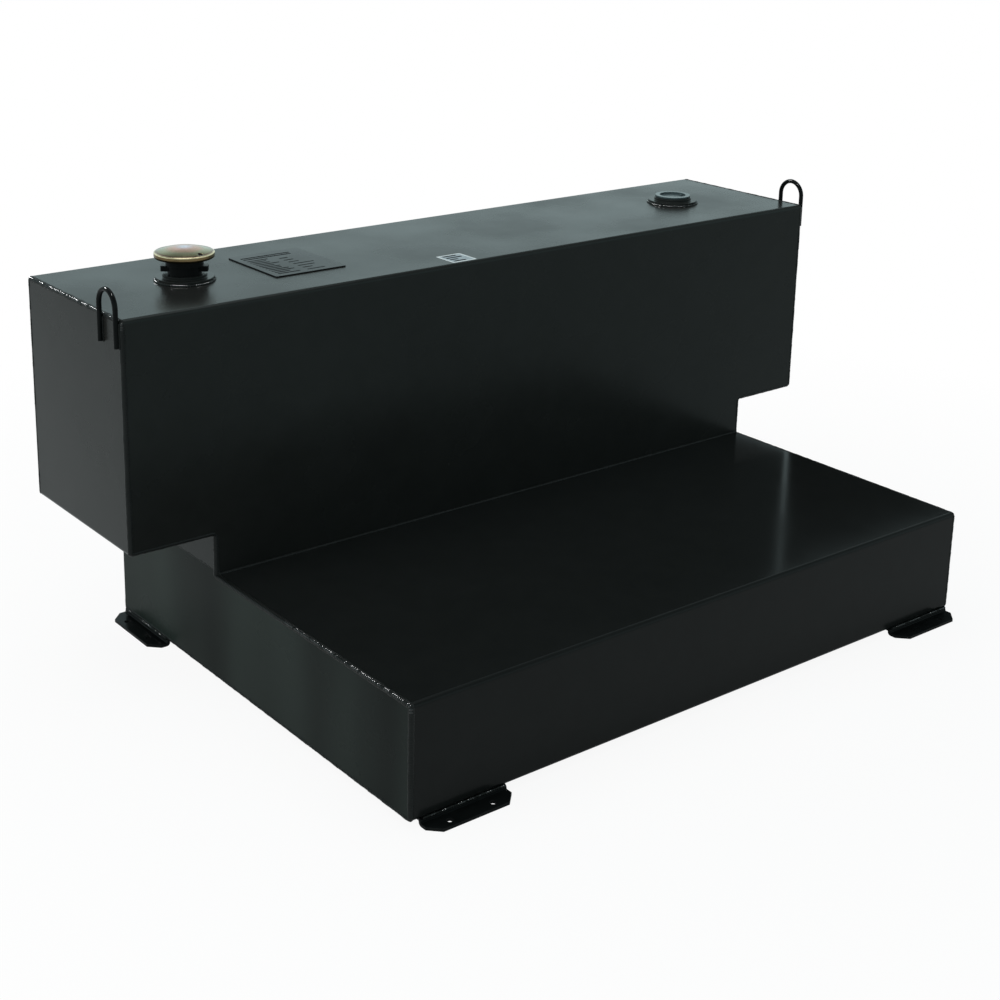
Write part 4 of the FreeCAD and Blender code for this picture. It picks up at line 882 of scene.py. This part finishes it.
def makeWorld():  # white to the camera, and darker upward to what mirrors it
    world = bpy.data.worlds.new("studioSky")
    scene.world = world
    world.use_nodes = True
    tree = world.node_tree
    sky = tree.nodes["Background"]
    paths = addNode(tree, "ShaderNodeLightPath")
    colour = mixColour(tree, paths.outputs["Is Camera Ray"], studioSky["tint"], (1, 1, 1, 1))
    tree.links.new(colour, sky.inputs["Color"])
    way = addNode(tree, "ShaderNodeSeparateXYZ")
    tree.links.new(addNode(tree, "ShaderNodeTexCoord").outputs["Generated"], way.inputs[0])
    ceiling = mapValue(tree, way.outputs["Z"], *studioSky["fade"], 1.0, studioSky["high"])
    shiny = mathStep(tree, "MAXIMUM", paths.outputs["Is Glossy Ray"], paths.outputs["Is Transmission Ray"])
    seen = mathStep(tree, "MAXIMUM", paths.outputs["Is Camera Ray"], mathStep(tree, "MULTIPLY", shiny, ceiling))
    lit = mathStep(tree, "MULTIPLY", mathStep(tree, "SUBTRACT", 1.0, shiny), studioSky["light"])
    tree.links.new(mathStep(tree, "MAXIMUM", seen, lit), sky.inputs["Strength"])


darkCard = {"x": 0.75, "y": 0.12, "wide": 1.9, "high": 0.56}


def makeDarkCard():  # keeps the pale backdrop out of the deck's reflection
    x, y, wide, high = (darkCard[key] for key in ("x", "y", "wide", "high"))
    mesh = bpy.data.meshes.new("darkCard")
    mesh.from_pydata([(x, y, 0), (x + wide, y, 0), (x + wide, y, high), (x, y, high)], [], [(0, 1, 2, 3)])
    card = linkPiece("darkCard", mesh)
    material, tree, shader, vector = newMaterial("blackCard", 0.0)
    shader.inputs["Base Color"].default_value = (0.01, 0.01, 0.01, 1)
    mesh.materials.append(material)
    card.visible_camera = card.visible_diffuse = card.visible_shadow = False


lamps = {
    "overheadSoftbox": {"place": (-0.2, 0.2, 3.4), "target": (0.0, 0.1, 0.3), "size": 3.4, "power": 42.0},
    "leftSoftbox": {"place": (-3.6, 0.6, 1.5), "target": (-0.7, 0.1, 0.3), "size": 2.2, "power": 42.0,
                    "mirrored": False},
    "backLeftGlint": {"place": (-1.75, 2.9, 2.7), "target": (-0.6, 0.1, 0.5), "size": 0.9, "power": 420.0,
                      "glint": True},
    "highFrontGlint": {"place": (-1.0, -0.5, 3.6), "target": (-0.5, 0.1, 0.6), "size": 0.8, "power": 200.0,
                       "glint": True},
}


def makeLamps():  # a glint lamp shows only as highlights on the glossy weld runs and the lifting eyes
    gleaming = bpy.data.collections.new("gleamingWelds")
    for piece in gleamingWelds + [frame["nodes"]["lifting_eye_left"], frame["nodes"]["lifting_eye_right"]]:
        gleaming.objects.link(piece)
    for name, look in lamps.items():
        data = bpy.data.lights.new(name, "AREA")
        data.shape, data.size, data.energy = "DISK", look["size"], look["power"]
        lamp = bpy.data.objects.new(name, data)
        lamp.location = look["place"]
        aim = Vector(look["target"]) - lamp.location
        lamp.rotation_euler = aim.to_track_quat("-Z", "Y").to_euler()
        lamp.visible_glossy = look.get("mirrored", True)
        if look.get("glint"):
            lamp.visible_diffuse = False
            lamp.light_linking.receiver_collection = gleaming
        scene.collection.objects.link(lamp)


cameraView = {"turn": -37.87, "tilt": 15.4, "roll": 0.89, "distance": 2.045, "aside": -0.0576, "above": 0.1,
              "focalPixels": 1723, "picture": 1000, "centre": (460, 310), "unit": 1.46, "aim": 0.25}


def makeCamera():
    look = cameraView
    turn, tilt, roll = (math.radians(look[k]) for k in ("turn", "tilt", "roll"))
    back = Vector((math.sin(turn) * math.cos(tilt), -math.cos(turn) * math.cos(tilt), math.sin(tilt)))
    right = Vector((math.cos(turn), math.sin(turn), 0))
    up = back.cross(right)
    right, up = right * math.cos(roll) + up * math.sin(roll), up * math.cos(roll) - right * math.sin(roll)
    spot = Vector((0, 0, look["aim"])) + back * look["distance"] + right * look["aside"] + up * look["above"]
    data = bpy.data.cameras.new("productCamera")
    data.sensor_width = 36.0
    data.sensor_fit = "HORIZONTAL"
    data.lens = look["focalPixels"] / look["picture"] * data.sensor_width
    data.shift_x = 0.5 - look["centre"][0] / look["picture"]
    data.shift_y = look["centre"][1] / look["picture"] - 0.5
    camera = bpy.data.objects.new("productCamera", data)
    camera.matrix_world = Matrix((right, up, back)).transposed().to_4x4()
    camera.location = spot * look["unit"] + Vector((0, shell["front"], shell["bottom"]))
    scene.collection.objects.link(camera)
    scene.camera = camera


makeFloor()
makeWorld()
makeDarkCard()
makeLamps()
makeCamera()
scene.view_settings.view_transform = "Standard"
print("studio ready")
